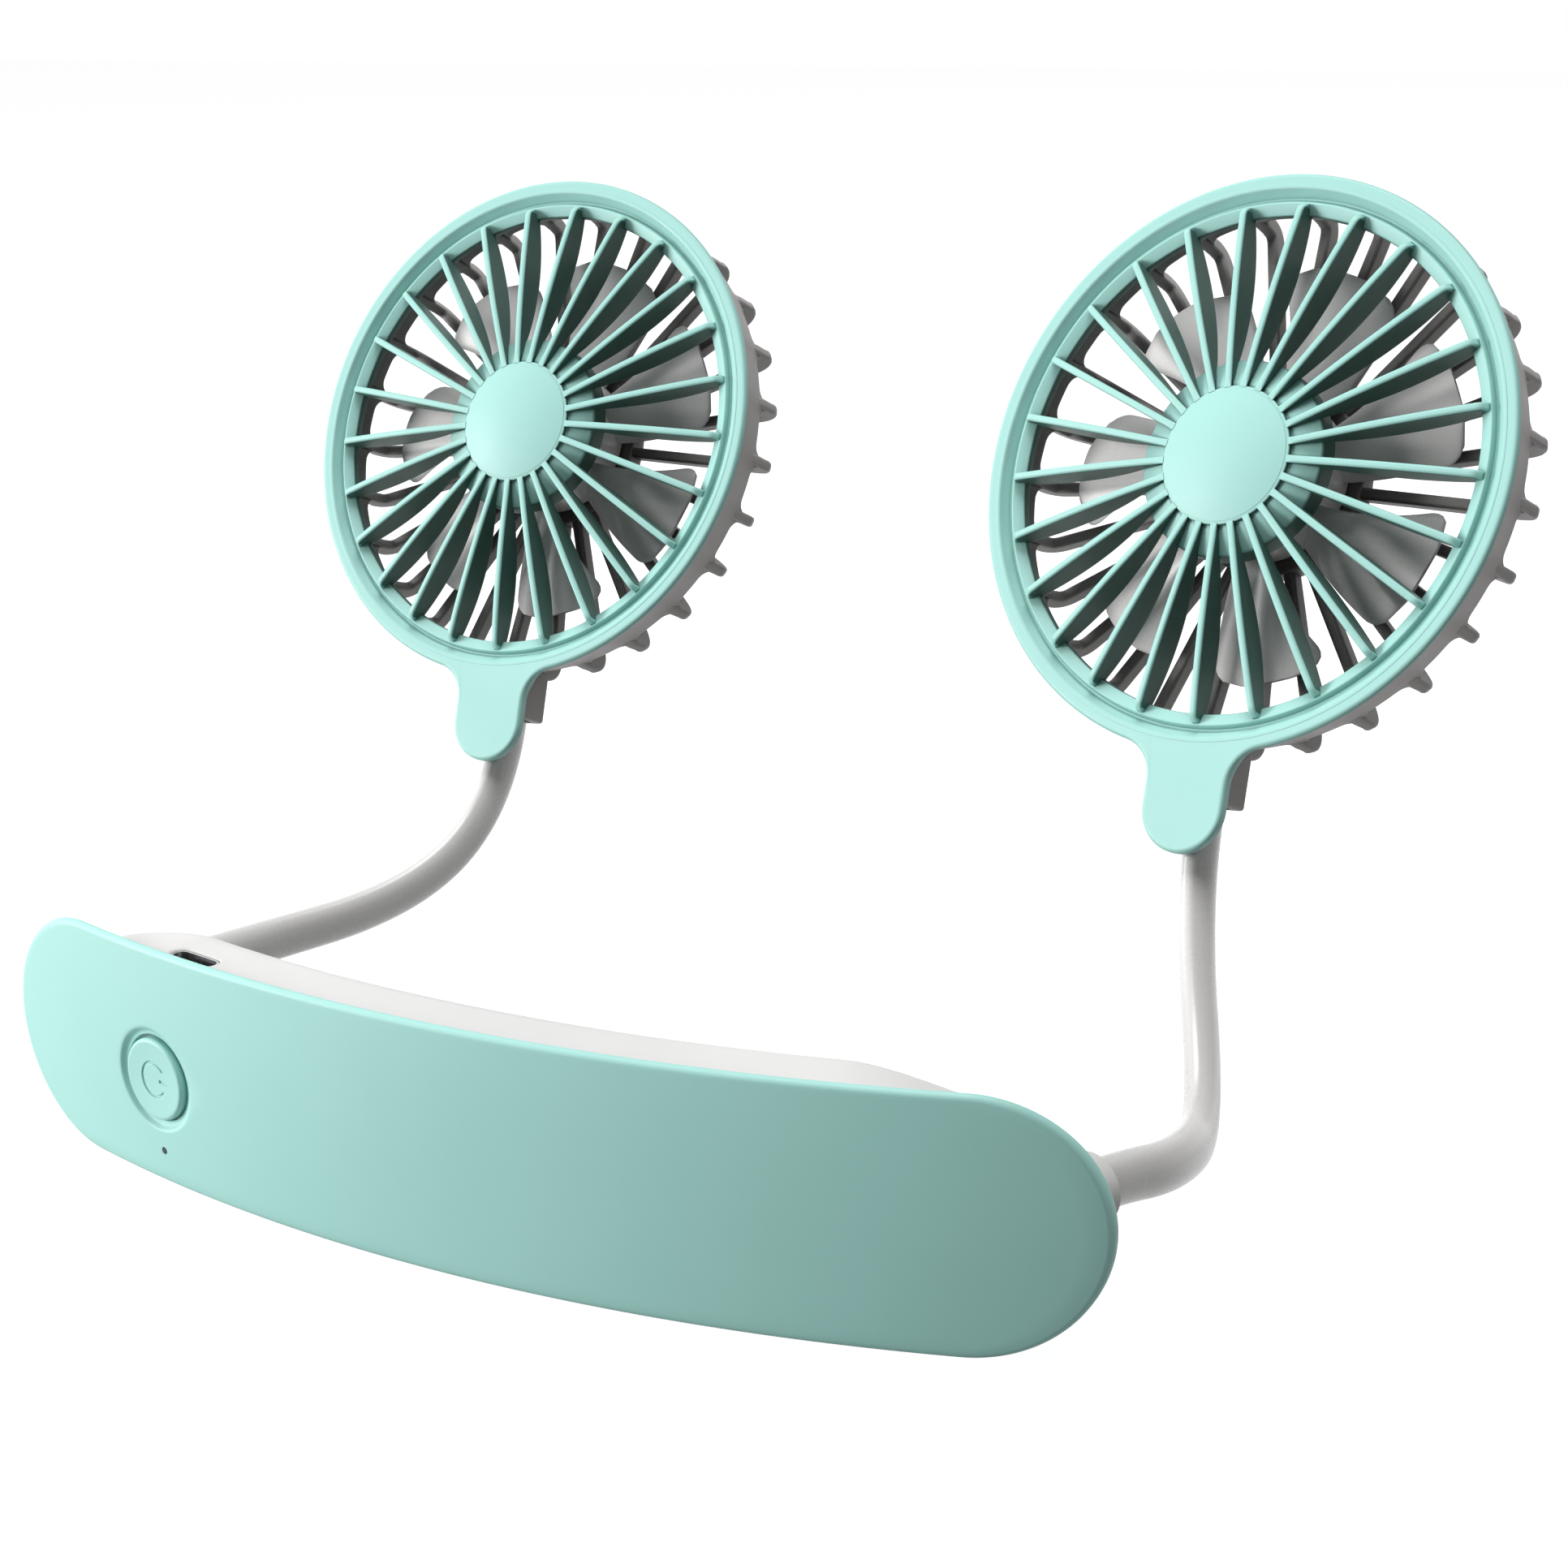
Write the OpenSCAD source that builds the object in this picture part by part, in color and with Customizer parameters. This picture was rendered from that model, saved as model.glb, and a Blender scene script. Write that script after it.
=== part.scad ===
// Electric neck fan: a curved battery band worn behind the neck, with two
// bendable arms that each carry a small caged fan head.
// The origin is the middle of the band's neck side. +Y points forward past the
// wearer's neck, +Z is up, and the right-hand arm is on +X.

/* [Band] */
// Length of the front panel along its outer face
band_length = 180; // [160:1:210]
// Height of the front panel
band_height = 36.2; // [33:0.2:42]
// Depth of the band from its outer face to its neck side
band_depth = 13.5; // [13:0.1:16]
// Bend radius of the outer face
band_radius = 248.4; // [220:1:320]
// Wall of the front panel
panel_wall = 1.8; // [1.5:0.1:2]
// Wall of the rear shell
shell_wall = 1.6; // [1.2:0.1:1.8]
// Step between the panel's edge and the shell's edge
shell_inset = 1.0; // [0.4:0.1:2]
// Rounding of the rear shell's long edges
shell_rounding = 3.0; // [2:0.1:4]
// Arc length left at each tip beyond the middle of the arm gland
gland_inset = 4.4; // [3:0.1:6]

/* [Power button and light] */
// Diameter of the button cap
button_diameter = 12.4; // [9:0.1:14]
// Distance along the outer face from the band's tip to the button
button_inset = 35.6; // [33:0.1:38]
// Distance that the button travels when it is pressed
button_travel = 0.5; // [0.3:0.05:0.6]
// Gap around the button cap
button_gap = 0.4; // [0.3:0.05:0.6]
// Height of the button below the middle of the band
button_drop = 1.7; // [0:0.1:4]
// Diameter of the hole for the status light
light_hole = 1.1; // [0.8:0.1:1.6]
// Height of the status light below the middle of the band
light_drop = 12.8; // [11:0.1:13.5]

/* [Charging socket] */
// Width of the socket's mouth along the band
socket_width = 8.9; // [8:0.1:9.4]
// Thickness of the socket's mouth
socket_thickness = 3.2; // [2.6:0.1:3.4]
// Distance along the outer face from the band's tip to the socket
socket_inset = 41.4; // [38:0.1:44]
// Length of the socket's metal shell
socket_length = 6.6; // [5:0.1:7.4]

/* [Arms] */
// Thickness of an arm in the plane where it bends up and down
arm_height = 7.6; // [7:0.1:8.4]
// Thickness of an arm across that plane
arm_width = 4.6; // [4:0.1:5.2]
// Diameter of the bendable core wire
core_diameter = 1.4; // [1:0.1:1.5]
// Gap in each joint of an arm
joint_gap = 0.35; // [0.3:0.01:0.45]
// Outward turn of the left arm where it leaves the band, in degrees
left_splay = -10; // [-15:1:15]
// Outward turn of the right arm where it leaves the band, in degrees
right_splay = 22; // [10:1:28]

/* [Fan heads] */
// Diameter of the front grille's ring
head_diameter = 87.5; // [84:0.5:96]
// Number of vanes in the front grille
vane_count = 25; // [19:1:31]
// Thickness of a vane
vane_thickness = 1.15; // [0.9:0.05:1.4]
// Depth of a vane from front to back
vane_depth = 5.0; // [4:0.1:5.2]
// Diameter of the dome at the middle of the grille
dome_diameter = 21; // [18:0.5:24]
// Diameter of the flared skirt behind the dome
skirt_diameter = 30; // [28:0.5:34]
// Width of the tab below the ring
tab_width = 13.5; // [11:0.1:16]
// Distance that the tab reaches past the neck's end
tab_lap = 8.3; // [6:0.1:12]
// Depth of the head from the ring's front to the back of the ribs
head_depth = 15.6; // [15:0.1:18]
// Number of ribs in the rear cage
rib_count = 27; // [21:1:33]
// Thickness of a rib
rib_thickness = 1.4; // [1:0.1:1.8]

/* [Impellers] */
// Distance from the impeller's tips to the edge of the head's ring
impeller_clearance = 11.75; // [8:0.25:13]
// Number of blades
blade_count = 7; // [5:1:9]
// Thickness of a blade at its middle
blade_thickness = 1.1; // [0.8:0.1:1.4]
// Diameter of the impeller's hub
impeller_hub = 25; // [23:0.5:27]
// Diameter of the motor
motor_diameter = 16; // [14:0.5:17]
// Diameter of the motor shaft
shaft_diameter = 1.5; // [1.2:0.1:2]

/* [Hidden] */

$fn = 64;
arc_steps = 360;
overrun = 1;
seat_gap = 0.3;
slip_gap = 0.1;
running_gap = 0.03;
mint = [0.62, 0.92, 0.86];
white = [0.95, 0.95, 0.94];
grey = [0.7, 0.7, 0.71];
steel = [0.6, 0.6, 0.62];
green = [0.1, 0.4, 0.22];
blue = [0.3, 0.45, 0.8];
LEFT = -1;
RIGHT = 1;

// Band: derived sizes
band_half = band_height / 2;
arc_y = band_radius - band_depth;
panel_inner = band_radius - panel_wall;
tip_x = band_radius * sin(turn_of(band_length / 2));
shell_half = band_half - shell_inset;
shell_boss_radius = 3.1;
cavity_half = shell_half - shell_wall;
cavity_depth = band_depth - shell_wall;
nose_length = 36;
nose_start = band_length / 2 - nose_length;
nose_slope = 16;
nose_middle = nose_start + nose_slope;
nose_tip = band_length / 2 - shell_wall;
nose_end_share = 0.98;
nose_end = nose_start + (nose_tip - nose_start) * nose_end_share;
nose_curve = 1.6;
nose_drop = 1.5;
nose_back = band_depth - nose_drop;
nose_rings = 10;
shell_rings = 18;
corner_steps = 4;
cavity_reach = 3;
cavity_end = nose_start + cavity_reach;
nose_cavity_reach = 0.5;
nose_cavity_end = nose_middle + nose_cavity_reach;
nose_cavity_half = half_at(nose_cavity_end) - shell_wall - seat_gap;
nose_cavity_depth = nose_back - shell_wall;
channel_depth = band_depth / 2;
channel_radius = 2;
gland_at = band_length / 2 - gland_inset;
gland_depth = band_depth - seat_gap;
gland_wall = 1;
gland_radius = arm_height / 2 + gland_wall;
gland_length = 2.4;
gland_lip = 1.2;
gland_out = 2.6;
gland_edge = 0.4;
mouth_radius = gland_radius + shell_wall;
mouth_length = 6;
stub_length = 8;
board_depth = 6.2;
board_thickness = 1;
board_length = 30;
board_height = 22;
board_margin = 1.5;
board_corner = 1.5;
post_radius = 2;
post_across = 11;
post_up = 8;
post_bite = 0.4;
screw_inset = 55;
screw_at = band_length / 2 - screw_inset;
board_at = -(screw_at + shell_boss_radius + board_margin + board_length / 2);
cell_margin = 3.4;
cell_space = 3;
cell_length = screw_at - shell_boss_radius - cell_margin - cell_space / 2;
cell_height = 28;
cell_thickness = 8;
cell_corner = 2;
cell_at = (cell_length + cell_space) / 2;
cell_depth = cavity_depth - seat_gap - cell_thickness;
screw_z = 10.5;
screw_radius = 0.95;
screw_head_radius = 1.9;
screw_head_depth = 1.3;
screw_sink = 0.6;
screw_length = 8;
screw_back = band_depth - screw_sink;
boss_radius = 2.3;
boss_end = 9.2;

// Button and light: derived sizes
button_radius = button_diameter / 2;
button_at = band_length / 2 - button_inset;
recess_lip = 1.45;
recess_radius = button_radius + button_gap + recess_lip;
recess_depth = 0.7;
button_proud = 0.1;
button_edge = 0.35;
flange_extra = 1.1;
flange_thickness = 0.7;
flange_front = panel_wall + seat_gap + slip_gap;
flange_back = flange_front + flange_thickness;
stem_radius = 1.6;
switch_side = 6;
switch_height = 1.3;
plunger_radius = 1.7;
plunger_height = 0.4;
switch_front = board_depth - switch_height;
stem_end = switch_front - plunger_height - button_travel - slip_gap;
icon_radius = 2.6;
icon_line = 0.5;
icon_depth = 0.25;
icon_bar_start = 1.1;
icon_gap_angle = 38;
light_shift = 0.5;
light_at = -(button_at - light_shift);
light_width = 3.2;
light_front = 5.0;
light_top = 9.5;
light_end = 13.9;
light_pipe_radius = 0.8;
light_pipe_front = panel_wall + seat_gap;

// Socket: derived sizes
socket_wall = 0.35;
socket_depth = 4.5;
socket_sink = 0.3;
tongue_thickness = 0.7;
tongue_share = 0.62;
socket_top = shell_half - socket_sink;
socket_at = band_length / 2 - socket_inset;

// Heads: the way from each gland to its ring's middle, then turn, lean and roll
left_reach = [19.5, 92, 74.8];
right_reach = [-9.5, 81.9, 79.9];
left_turns = [-3.9, 24.1, 5.6];
right_turns = [-15.3, 23.9, 7.4];
left_head = [mouth_of(LEFT) + left_reach, left_turns];
right_head = [mouth_of(RIGHT) + right_reach, right_turns];

// Front grille: derived sizes, with depths counted back from the rim's front
ring_radius = head_diameter / 2;
rim_flat = 2.25;
rim_edge = 0.6;
rim_depth = 0.9;
groove_slope = 1.2;
groove_floor = 0.3;
groove_depth = 1.5;
ledge_slope = 0.5;
ledge_depth = 0.6;
ledge_width = 1.8;
ledge_drop = 0.9;
lip_inset = 2.2;
lip_slope = 0.6;
lip_depth = 2.8;
groove_outer = ring_radius - rim_flat - groove_slope;
ledge_outer = groove_outer - groove_floor - ledge_slope;
ledge_inner = ledge_outer - ledge_width;
lip_outer = ring_radius - lip_inset;
dome_radius = dome_diameter / 2;
dome_edge = 2.9;
dome_rise = 0.9;
dome_curve = (dome_radius * dome_radius + dome_rise * dome_rise) / (2 * dome_rise);
skirt_radius = skirt_diameter / 2;
skirt_step = 0.5;
skirt_top = 2.2;
skirt_edge = 0.9;
skirt_base = 2.6;
skirt_wall = 1.2;
vane_crest_inset = 1.1;
vane_crest = dome_radius - vane_crest_inset;
vane_crest_rise = 3;
vane_end_inset = 0.2;
vane_end = ledge_inner - vane_end_inset;
vane_end_rise = 0.9;
vane_run = vane_end - vane_crest;
vane_fall = vane_crest_rise - vane_end_rise;
vane_curve = (vane_run * vane_run + vane_fall * vane_fall) / (2 * vane_fall);
vane_start = dome_radius - skirt_step;
vane_belly_share = 0.2313;
vane_belly_inset = vane_belly_share * vane_run;
vane_belly = vane_end - vane_belly_inset;
vane_belly_back = vane_crest_rise - pow(vane_belly - vane_crest, 2) / (2 * vane_curve) - vane_depth;
vane_root_rise = 0.6;
vane_back_run = vane_belly - skirt_radius;
vane_back_rise = vane_root_rise - vane_belly_back;
vane_back_curve = (vane_back_run * vane_back_run + vane_back_rise * vane_back_rise) / (2 * vane_back_rise);
vane_end_back = vane_belly_back + vane_belly_inset * vane_belly_inset / (2 * vane_back_curve);
vane_end_radius = (vane_end_rise - vane_end_back) / 2;
vane_phase = 82.7;
tab_radius = tab_width / 2;
neck_length = 6.45;
neck_reach = ring_radius + neck_length;
tab_reach = neck_reach + tab_lap;
tab_centre = tab_reach - tab_radius;
tab_fillet = 6;
tab_thickness = 1.6;
fillet_x = tab_radius + tab_fillet;
fillet_y = sqrt(pow(ring_radius + tab_fillet, 2) - fillet_x * fillet_x);

// Rear cage: derived sizes
cage_front = rim_depth + slip_gap;
wall_back = 8.6;
wall_front_inset = 0.45;
wall_outer_front = ring_radius - wall_front_inset;
wall_back_inset = 2.05;
wall_outer_back = ring_radius - wall_back_inset;
cage_wall = 1.3;
rib_front = 5;
rib_front_inset = 1.35;
rib_outer_front = ring_radius - rib_front_inset;
rib_inset = 1.15;
rib_outer = ring_radius - rib_inset;
rib_bend = 3.5;
rib_bend_rise = 3.6;
rib_bend_depth = head_depth - rib_bend_rise;
rib_inner_start = 7;
rib_knee = 2.3;
rib_depth = 3;
rib_phase = -6;
hub_disc_radius = 14.5;
hub_disc_front = 12.4;
hub_disc_step = 0.6;
hub_disc_back = head_depth + hub_disc_step;
hub_boss_radius = 10;
hub_boss_step = 3.4;
hub_boss_back = head_depth + hub_boss_step;
neck_half = 3.9;
neck_front = tab_thickness + slip_gap;
neck_centre = 7.0;
neck_back = 11.7;
neck_depth = 6;

// Motor: derived sizes
motor_radius = motor_diameter / 2;
motor_front = 9;
motor_back = 17.5;
motor_edge = 0.6;
shaft_radius = shaft_diameter / 2;
shaft_front = 5.5;
shaft_back = 15;
shaft_room = 0.45;
bearing_radius = 2.5;
bearing_front = 8;
bearing_back = 10.5;
motor_screw_at = 5;
motor_screw_radius = 0.8;
motor_screw_head = 1.5;
motor_screw_head_depth = 0.8;
motor_screw_front = 15.8;

// Impeller: derived sizes
impeller_radius = ring_radius - impeller_clearance;
impeller_hub_radius = impeller_hub / 2;
impeller_hub_front = 4.6;
impeller_hub_back = 12;
impeller_hub_edge = 1.2;
impeller_room_gap = 1.2;
impeller_room_radius = motor_radius + impeller_room_gap;
impeller_room_front = 6.8;
impeller_boss_radius = 2;
impeller_boss_back = 7.6;
blade_bite = 0.6;
blade_root = impeller_hub_radius - blade_bite;
blade_front = 5.4;
blade_root_back = 11.3;
blade_tip_front = 9;
blade_tip_back = 11.6;
blade_root_chord = 30;
blade_tip_chord = 38;
blade_skew = 12;
blade_phase = 12;
blade_rows = 5;
blade_columns = 5;
blade_edge_share = 0.5;

// Arms: the ways from each gland to the second and third guide points of its curve
left_second = [3.8, 21.6, -0.8];
left_third = [19.7, 51.9, 1.3];
right_second = [6.9, 19.2, -2.9];
right_third = [4.0, 39.1, -5.6];
root_lead = 5;
neck_lead = 14;
arm_half_height = arm_height / 2;
arm_half_width = arm_width / 2;
core_radius = core_diameter / 2;
core_space = 0.3;
bore_radius = core_radius + core_space;
arm_sides = 16;
core_sides = 8;
sleeve_rings = 6;
spread_share = 0.35;
lift_share = 2;
tilt_share = 3.6;
arm_stretches = 4;
quarter_turn = 90;
cup_angles = [26, 39, 52];
ball_angles = [90, 75, 60, 45, 30];
cup_floor_share = 0.97;
ball_tip_share = 0.9;
root_end = -stub_length / (2 * root_lead);
neck_end = arm_stretches + neck_depth / (2 * neck_lead);
left_guides = guides(LEFT, left_splay, left_second, left_third, left_head);
right_guides = guides(RIGHT, right_splay, right_second, right_third, right_head);

// Angle along the band for a distance along its outer face
function turn_of(s) = s / band_radius * 180 / PI;
// Point at a distance along the band, a depth behind its outer face and a height
function band_point(s, depth, z) =
    let(r = band_radius - depth, a = turn_of(s)) [r * sin(a), arc_y - r * cos(a), z];
function mouth_of(side) = band_point(side * gland_at, gland_depth, 0);
// Half height, depth and edge rounding of the rear shell at a distance along the band
function nose_share(s) = max(0, (abs(s) - nose_start) / (nose_tip - nose_start));
function half_at(s) = shell_half * sqrt(1 - pow(nose_share(s), nose_curve));
function ease(v) = let(w = max(0, min(1, v))) w * w * (3 - 2 * w);
function back_at(s) = band_depth - nose_drop * ease((abs(s) - nose_start) / (nose_middle - nose_start));
function rounding_at(s) = min(shell_rounding, half_at(s) / 2);
function shell_corner(s, up, from) =
    let(r = rounding_at(s), d = back_at(s) - r, z = up * (half_at(s) - r))
    [for (k = [0:corner_steps]) let(a = from + quarter_turn * k / corner_steps) band_point(s, d + r * cos(a), z + r * sin(a))];
function shell_ring(s) =
    concat(shell_corner(s, -1, -quarter_turn), shell_corner(s, 1, 0),
           [band_point(s, panel_wall, half_at(s)), band_point(s, panel_wall, -half_at(s))]);
function exit_way(side, splay) = [side * sin(splay), cos(splay), 0];
function unit(v) = v / norm(v);
function turn_x(a, p) = [p.x, p.y * cos(a) - p.z * sin(a), p.y * sin(a) + p.z * cos(a)];
function turn_z(a, p) = [p.x * cos(a) - p.y * sin(a), p.x * sin(a) + p.y * cos(a), p.z];
// Direction and point of a head, given in the head's own axes
function head_way(head, p) = turn_z(head[1][0], turn_x(quarter_turn - head[1][1], turn_z(head[1][2], p)));
function head_point(head, p) = head[0] + head_way(head, p);
// Guide points of an arm's curve, from its gland to the head's neck
function guides(side, splay, second, third, head) =
    let(mouth = mouth_of(side), neck = head_point(head, [0, -neck_reach, -neck_centre]))
    [mouth, mouth + root_lead * exit_way(side, splay), mouth + second, mouth + third,
     neck - neck_lead * head_way(head, [0, 1, 0]), neck];
// Ends and guide of the curve's stretch that holds the place u
function stretch_of(u) = min(floor(max(0, min(arm_stretches, u))), arm_stretches - 1);
function stretch_start(g, k) = k == 0 ? g[0] : (g[k] + g[k + 1]) / 2;
function stretch_end(g, k) = k == arm_stretches - 1 ? g[arm_stretches + 1] : (g[k + 1] + g[k + 2]) / 2;
function curve_slope(g, k, t) =
    2 * (1 - t) * (g[k + 1] - stretch_start(g, k)) + 2 * t * (stretch_end(g, k) - g[k + 1]);
// Middle and direction of an arm at the place u, from 0 at the gland to 4 at the neck
function arm_point(g, u) =
    let(v = max(0, min(arm_stretches, u)), k = stretch_of(u), t = v - k, a = stretch_start(g, k), b = g[k + 1])
    (1 - t) * (1 - t) * a + 2 * t * (1 - t) * b + t * t * stretch_end(g, k) + (u - v) * curve_slope(g, k, t);
function arm_way(g, u) =
    let(v = max(0, min(arm_stretches, u)), k = stretch_of(u)) unit(curve_slope(g, k, v - k));
// Axes of an arm's section: along the arm, along its height and along its width
function arm_axes(g, head, u) =
    let(share = max(0, min(arm_stretches, u)) / arm_stretches, along = arm_way(g, u),
        up = (1 - share) * [0, 0, 1] + share * head_way(head, [0, 0, 1]),
        high = unit(up - (up * along) * along))
    [along, high, cross(along, high)];
function oval(middle, axes, high, wide, sides) =
    [for (k = [0:sides - 1]) middle + axes[1] * high * cos(k * 360 / sides) + axes[2] * wide * sin(k * 360 / sides)];
function arm_ring(g, head, u, high, wide, sides = arm_sides) =
    oval(arm_point(g, u), arm_axes(g, head, u), high, wide, sides);
function joint_ring(g, head, u, shift, high, wide) =
    let(axes = arm_axes(g, head, u)) oval(arm_point(g, u) + shift * axes[0], axes, high, wide, arm_sides);
function core_bore(g, head, u) = arm_ring(g, head, u, bore_radius, bore_radius);
// Hollow that takes the ball of the joint at u, then the sleeve's end around it
function cup_rings(g, head, u, size) =
    let(room = size + joint_gap, last = cup_angles[len(cup_angles) - 1])
    [joint_ring(g, head, u, room * cup_floor_share, bore_radius, bore_radius),
     for (b = cup_angles)
         joint_ring(g, head, u, room * cos(b), (arm_half_height + joint_gap) * sin(b),
                    (arm_half_width + joint_gap) * sin(b)),
     joint_ring(g, head, u, room * cos(last), arm_half_height, arm_half_width)];
function ball_rings(g, head, u, size) =
    [for (b = ball_angles)
         joint_ring(g, head, u, size * cos(b), arm_half_height * sin(b), arm_half_width * sin(b)),
     joint_ring(g, head, u, size * ball_tip_share, bore_radius, bore_radius)];
function places(from, to, count) = [for (i = [1:count]) from + (to - from) * i / (count + 1)];
function skin_faces(rings, sides, closed) =
    [for (i = [0:rings - (closed ? 1 : 2)], j = [0:sides - 1])
         let(a = i * sides, b = (i + 1) % rings * sides, n = (j + 1) % sides)
         each [[a + j, b + j, b + n], [a + j, b + n, a + n]]];
// Middle point of a blade's surface at a share outward and a share along its chord
function blade_turn(out, back) =
    blade_skew * out + (blade_root_chord + (blade_tip_chord - blade_root_chord) * out) * (0.5 - back);
function blade_points(side) =
    [for (i = [0:blade_rows - 1], j = [0:blade_columns - 1])
         let(out = i / (blade_rows - 1), back = j / (blade_columns - 1),
             r = blade_root + (impeller_radius - blade_root) * out,
             first = blade_front + (blade_tip_front - blade_front) * out,
             last = blade_root_back + (blade_tip_back - blade_root_back) * out - blade_thickness,
             half = blade_thickness / 2 * (1 - blade_edge_share * abs(2 * back - 1)),
             z = -(first + blade_thickness / 2 + (last - first) * back) + side * half,
             a = blade_turn(out, back))
         [r * cos(a), r * sin(a), z]];

module at_station(s, depth = 0, z = 0) {
    translate([0, arc_y, 0])
        rotate([0, 0, turn_of(s)])
            translate([0, depth - band_radius, z])
                children();
}

module round_bar(radius, from, to) {
    translate([0, from, 0])
        rotate([-90, 0, 0])
            cylinder(r = radius, h = to - from);
}

module arc_strip(reach, inner, outer, half) {
    translate([0, arc_y, 0])
        rotate([0, 0, -90 - turn_of(reach)])
            rotate_extrude(angle = 2 * turn_of(reach), $fn = arc_steps)
                translate([inner, -half])
                    square([outer - inner, 2 * half]);
}

module at_exit(side, splay) {
    translate(mouth_of(side))
        rotate([0, 0, -side * splay])
            children();
}

module at_head(head) {
    translate(head[0])
        rotate([90 - head[1][1], 0, head[1][0]])
            rotate([0, 0, head[1][2]])
                children();
}

module rounded_plate(size, corner, thickness) {
    rotate([-90, 0, 0])
        linear_extrude(thickness) {
            square([size.x, size.y - 2 * corner], center = true);
            square([size.x - 2 * corner, size.y], center = true);
            for (x = [-1, 1], y = [-1, 1])
                translate([x * (size.x / 2 - corner), y * (size.y / 2 - corner)])
                    circle(r = corner);
        }
}

module stadium(width, thickness) {
    square([width - thickness, thickness], center = true);
    for (x = [-1, 1])
        translate([x * (width - thickness) / 2, 0])
            circle(d = thickness);
}

module panel_outline() {
    square([2 * (tip_x - band_half), band_height], center = true);
    for (x = [-1, 1])
        translate([x * (tip_x - band_half), 0])
            circle(r = band_half, $fn = 2 * $fn);
}

module front_panel() {
    color(mint)
        difference() {
            union() {
                intersection() {
                    arc_strip(band_length / 2 + overrun, panel_inner, band_radius, band_half + overrun);
                    translate([0, arc_y, 0])
                        rotate([90, 0, 0])
                            linear_extrude(band_radius + overrun)
                                panel_outline();
                }
                for (x = [-1, 1], z = [-1, 1])
                    at_station(x * screw_at, 0, z * screw_z)
                        round_bar(boss_radius, panel_wall / 2, boss_end);
            }
            at_station(-button_at, 0, -button_drop) {
                round_bar(recess_radius, -overrun, recess_depth);
                round_bar(button_radius + button_gap, -overrun, panel_wall + overrun);
            }
            at_station(light_at, 0, -light_drop)
                round_bar(light_hole / 2, -overrun, panel_wall + overrun);
            for (x = [-1, 1], z = [-1, 1])
                at_station(x * screw_at, 0, z * screw_z)
                    round_bar(screw_radius, screw_back - screw_head_depth - screw_length, boss_end + overrun);
        }
}

module arm_bore(length, gap = slip_gap) {
    rotate([-90, 90, 0])
        linear_extrude(length)
            stadium(arm_height + 2 * gap, arm_width + 2 * gap);
}

module rear_shell() {
    stations = concat([for (i = [nose_rings:-1:1]) -nose_start - (nose_end - nose_start) * i / nose_rings],
                      [for (i = [0:shell_rings]) nose_start * (2 * i / shell_rings - 1)],
                      [for (i = [1:nose_rings]) nose_start + (nose_end - nose_start) * i / nose_rings]);
    sides = 2 * corner_steps + 4;
    last = (len(stations) - 1) * sides;
    color(white)
        difference() {
            union() {
                polyhedron(
                    points = [for (s = stations) each shell_ring(s)],
                    faces = concat(skin_faces(len(stations), sides, false), [[for (j = [0:sides - 1]) j]],
                                   [[for (j = [sides - 1:-1:0]) last + j]]),
                    convexity = 6);
                for (side = [LEFT, RIGHT])
                    at_exit(side, side == LEFT ? left_splay : right_splay)
                        round_bar(mouth_radius, -gland_lip - mouth_length, -gland_lip);
            }
            difference() {
                union() {
                    arc_strip(cavity_end, band_radius - cavity_depth, panel_inner + overrun, cavity_half);
                    arc_strip(nose_cavity_end, band_radius - nose_cavity_depth, panel_inner + overrun,
                              nose_cavity_half);
                }
                for (x = [-1, 1], z = [-1, 1])
                    at_station(x * screw_at, 0, z * screw_z)
                        round_bar(shell_boss_radius, boss_end + slip_gap, band_depth);
                for (z = [-1, 1]) {
                    at_station(board_at + post_across, 0, z * post_up)
                        round_bar(post_radius, board_depth + board_thickness, cavity_depth + post_bite);
                    at_station(board_at - post_across, 0, z * post_up)
                        round_bar(post_radius, board_depth + board_thickness, nose_cavity_depth + post_bite);
                }
            }
            for (x = [-1, 1], z = [-1, 1])
                at_station(x * screw_at, 0, z * screw_z) {
                    round_bar(screw_radius + slip_gap, boss_end - overrun, screw_back);
                    round_bar(screw_head_radius + slip_gap, screw_back - screw_head_depth, band_depth + overrun);
                }
            shell_mouth(LEFT, left_splay);
            shell_mouth(RIGHT, right_splay);
            at_station(-socket_at, socket_depth)
                linear_extrude(shell_half + overrun)
                    stadium(socket_width + 2 * slip_gap, socket_thickness + 2 * slip_gap);
        }
}

// Room for the gland and the arm's stub, and the wire's way to the cavity
module shell_mouth(side, splay) {
    at_exit(side, splay) {
        round_bar(gland_radius + slip_gap, -gland_lip - gland_length, overrun);
        translate([0, -stub_length - slip_gap, 0])
            arm_bore(stub_length + overrun);
    }
    at_station(side * (nose_middle + gland_at) / 2, channel_depth)
        rotate([0, 90, 0])
            cylinder(r = channel_radius, h = gland_at - nose_middle, center = true);
}

module power_icon() {
    difference() {
        circle(r = icon_radius + icon_line / 2);
        circle(r = icon_radius - icon_line / 2);
        polygon([[0, 0], [2 * icon_radius, -2 * icon_radius * tan(icon_gap_angle)],
                 [2 * icon_radius, 2 * icon_radius * tan(icon_gap_angle)]]);
    }
    translate([icon_bar_start, -icon_line / 2])
        square([icon_radius - icon_bar_start + icon_line, icon_line]);
}

module power_button() {
    color(mint)
        at_station(-button_at, 0, -button_drop)
            difference() {
                union() {
                    translate([0, -button_proud, 0])
                        rotate([-90, 0, 0])
                            cylinder(r1 = button_radius - button_edge, r2 = button_radius, h = button_edge);
                    round_bar(button_radius, button_edge - button_proud, flange_front);
                    round_bar(button_radius + flange_extra, flange_front, flange_back);
                    round_bar(stem_radius, flange_back, stem_end);
                }
                translate([0, icon_depth - button_proud, 0])
                    rotate([90, 0, 0])
                        linear_extrude(icon_depth + overrun)
                            power_icon();
            }
}

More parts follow.
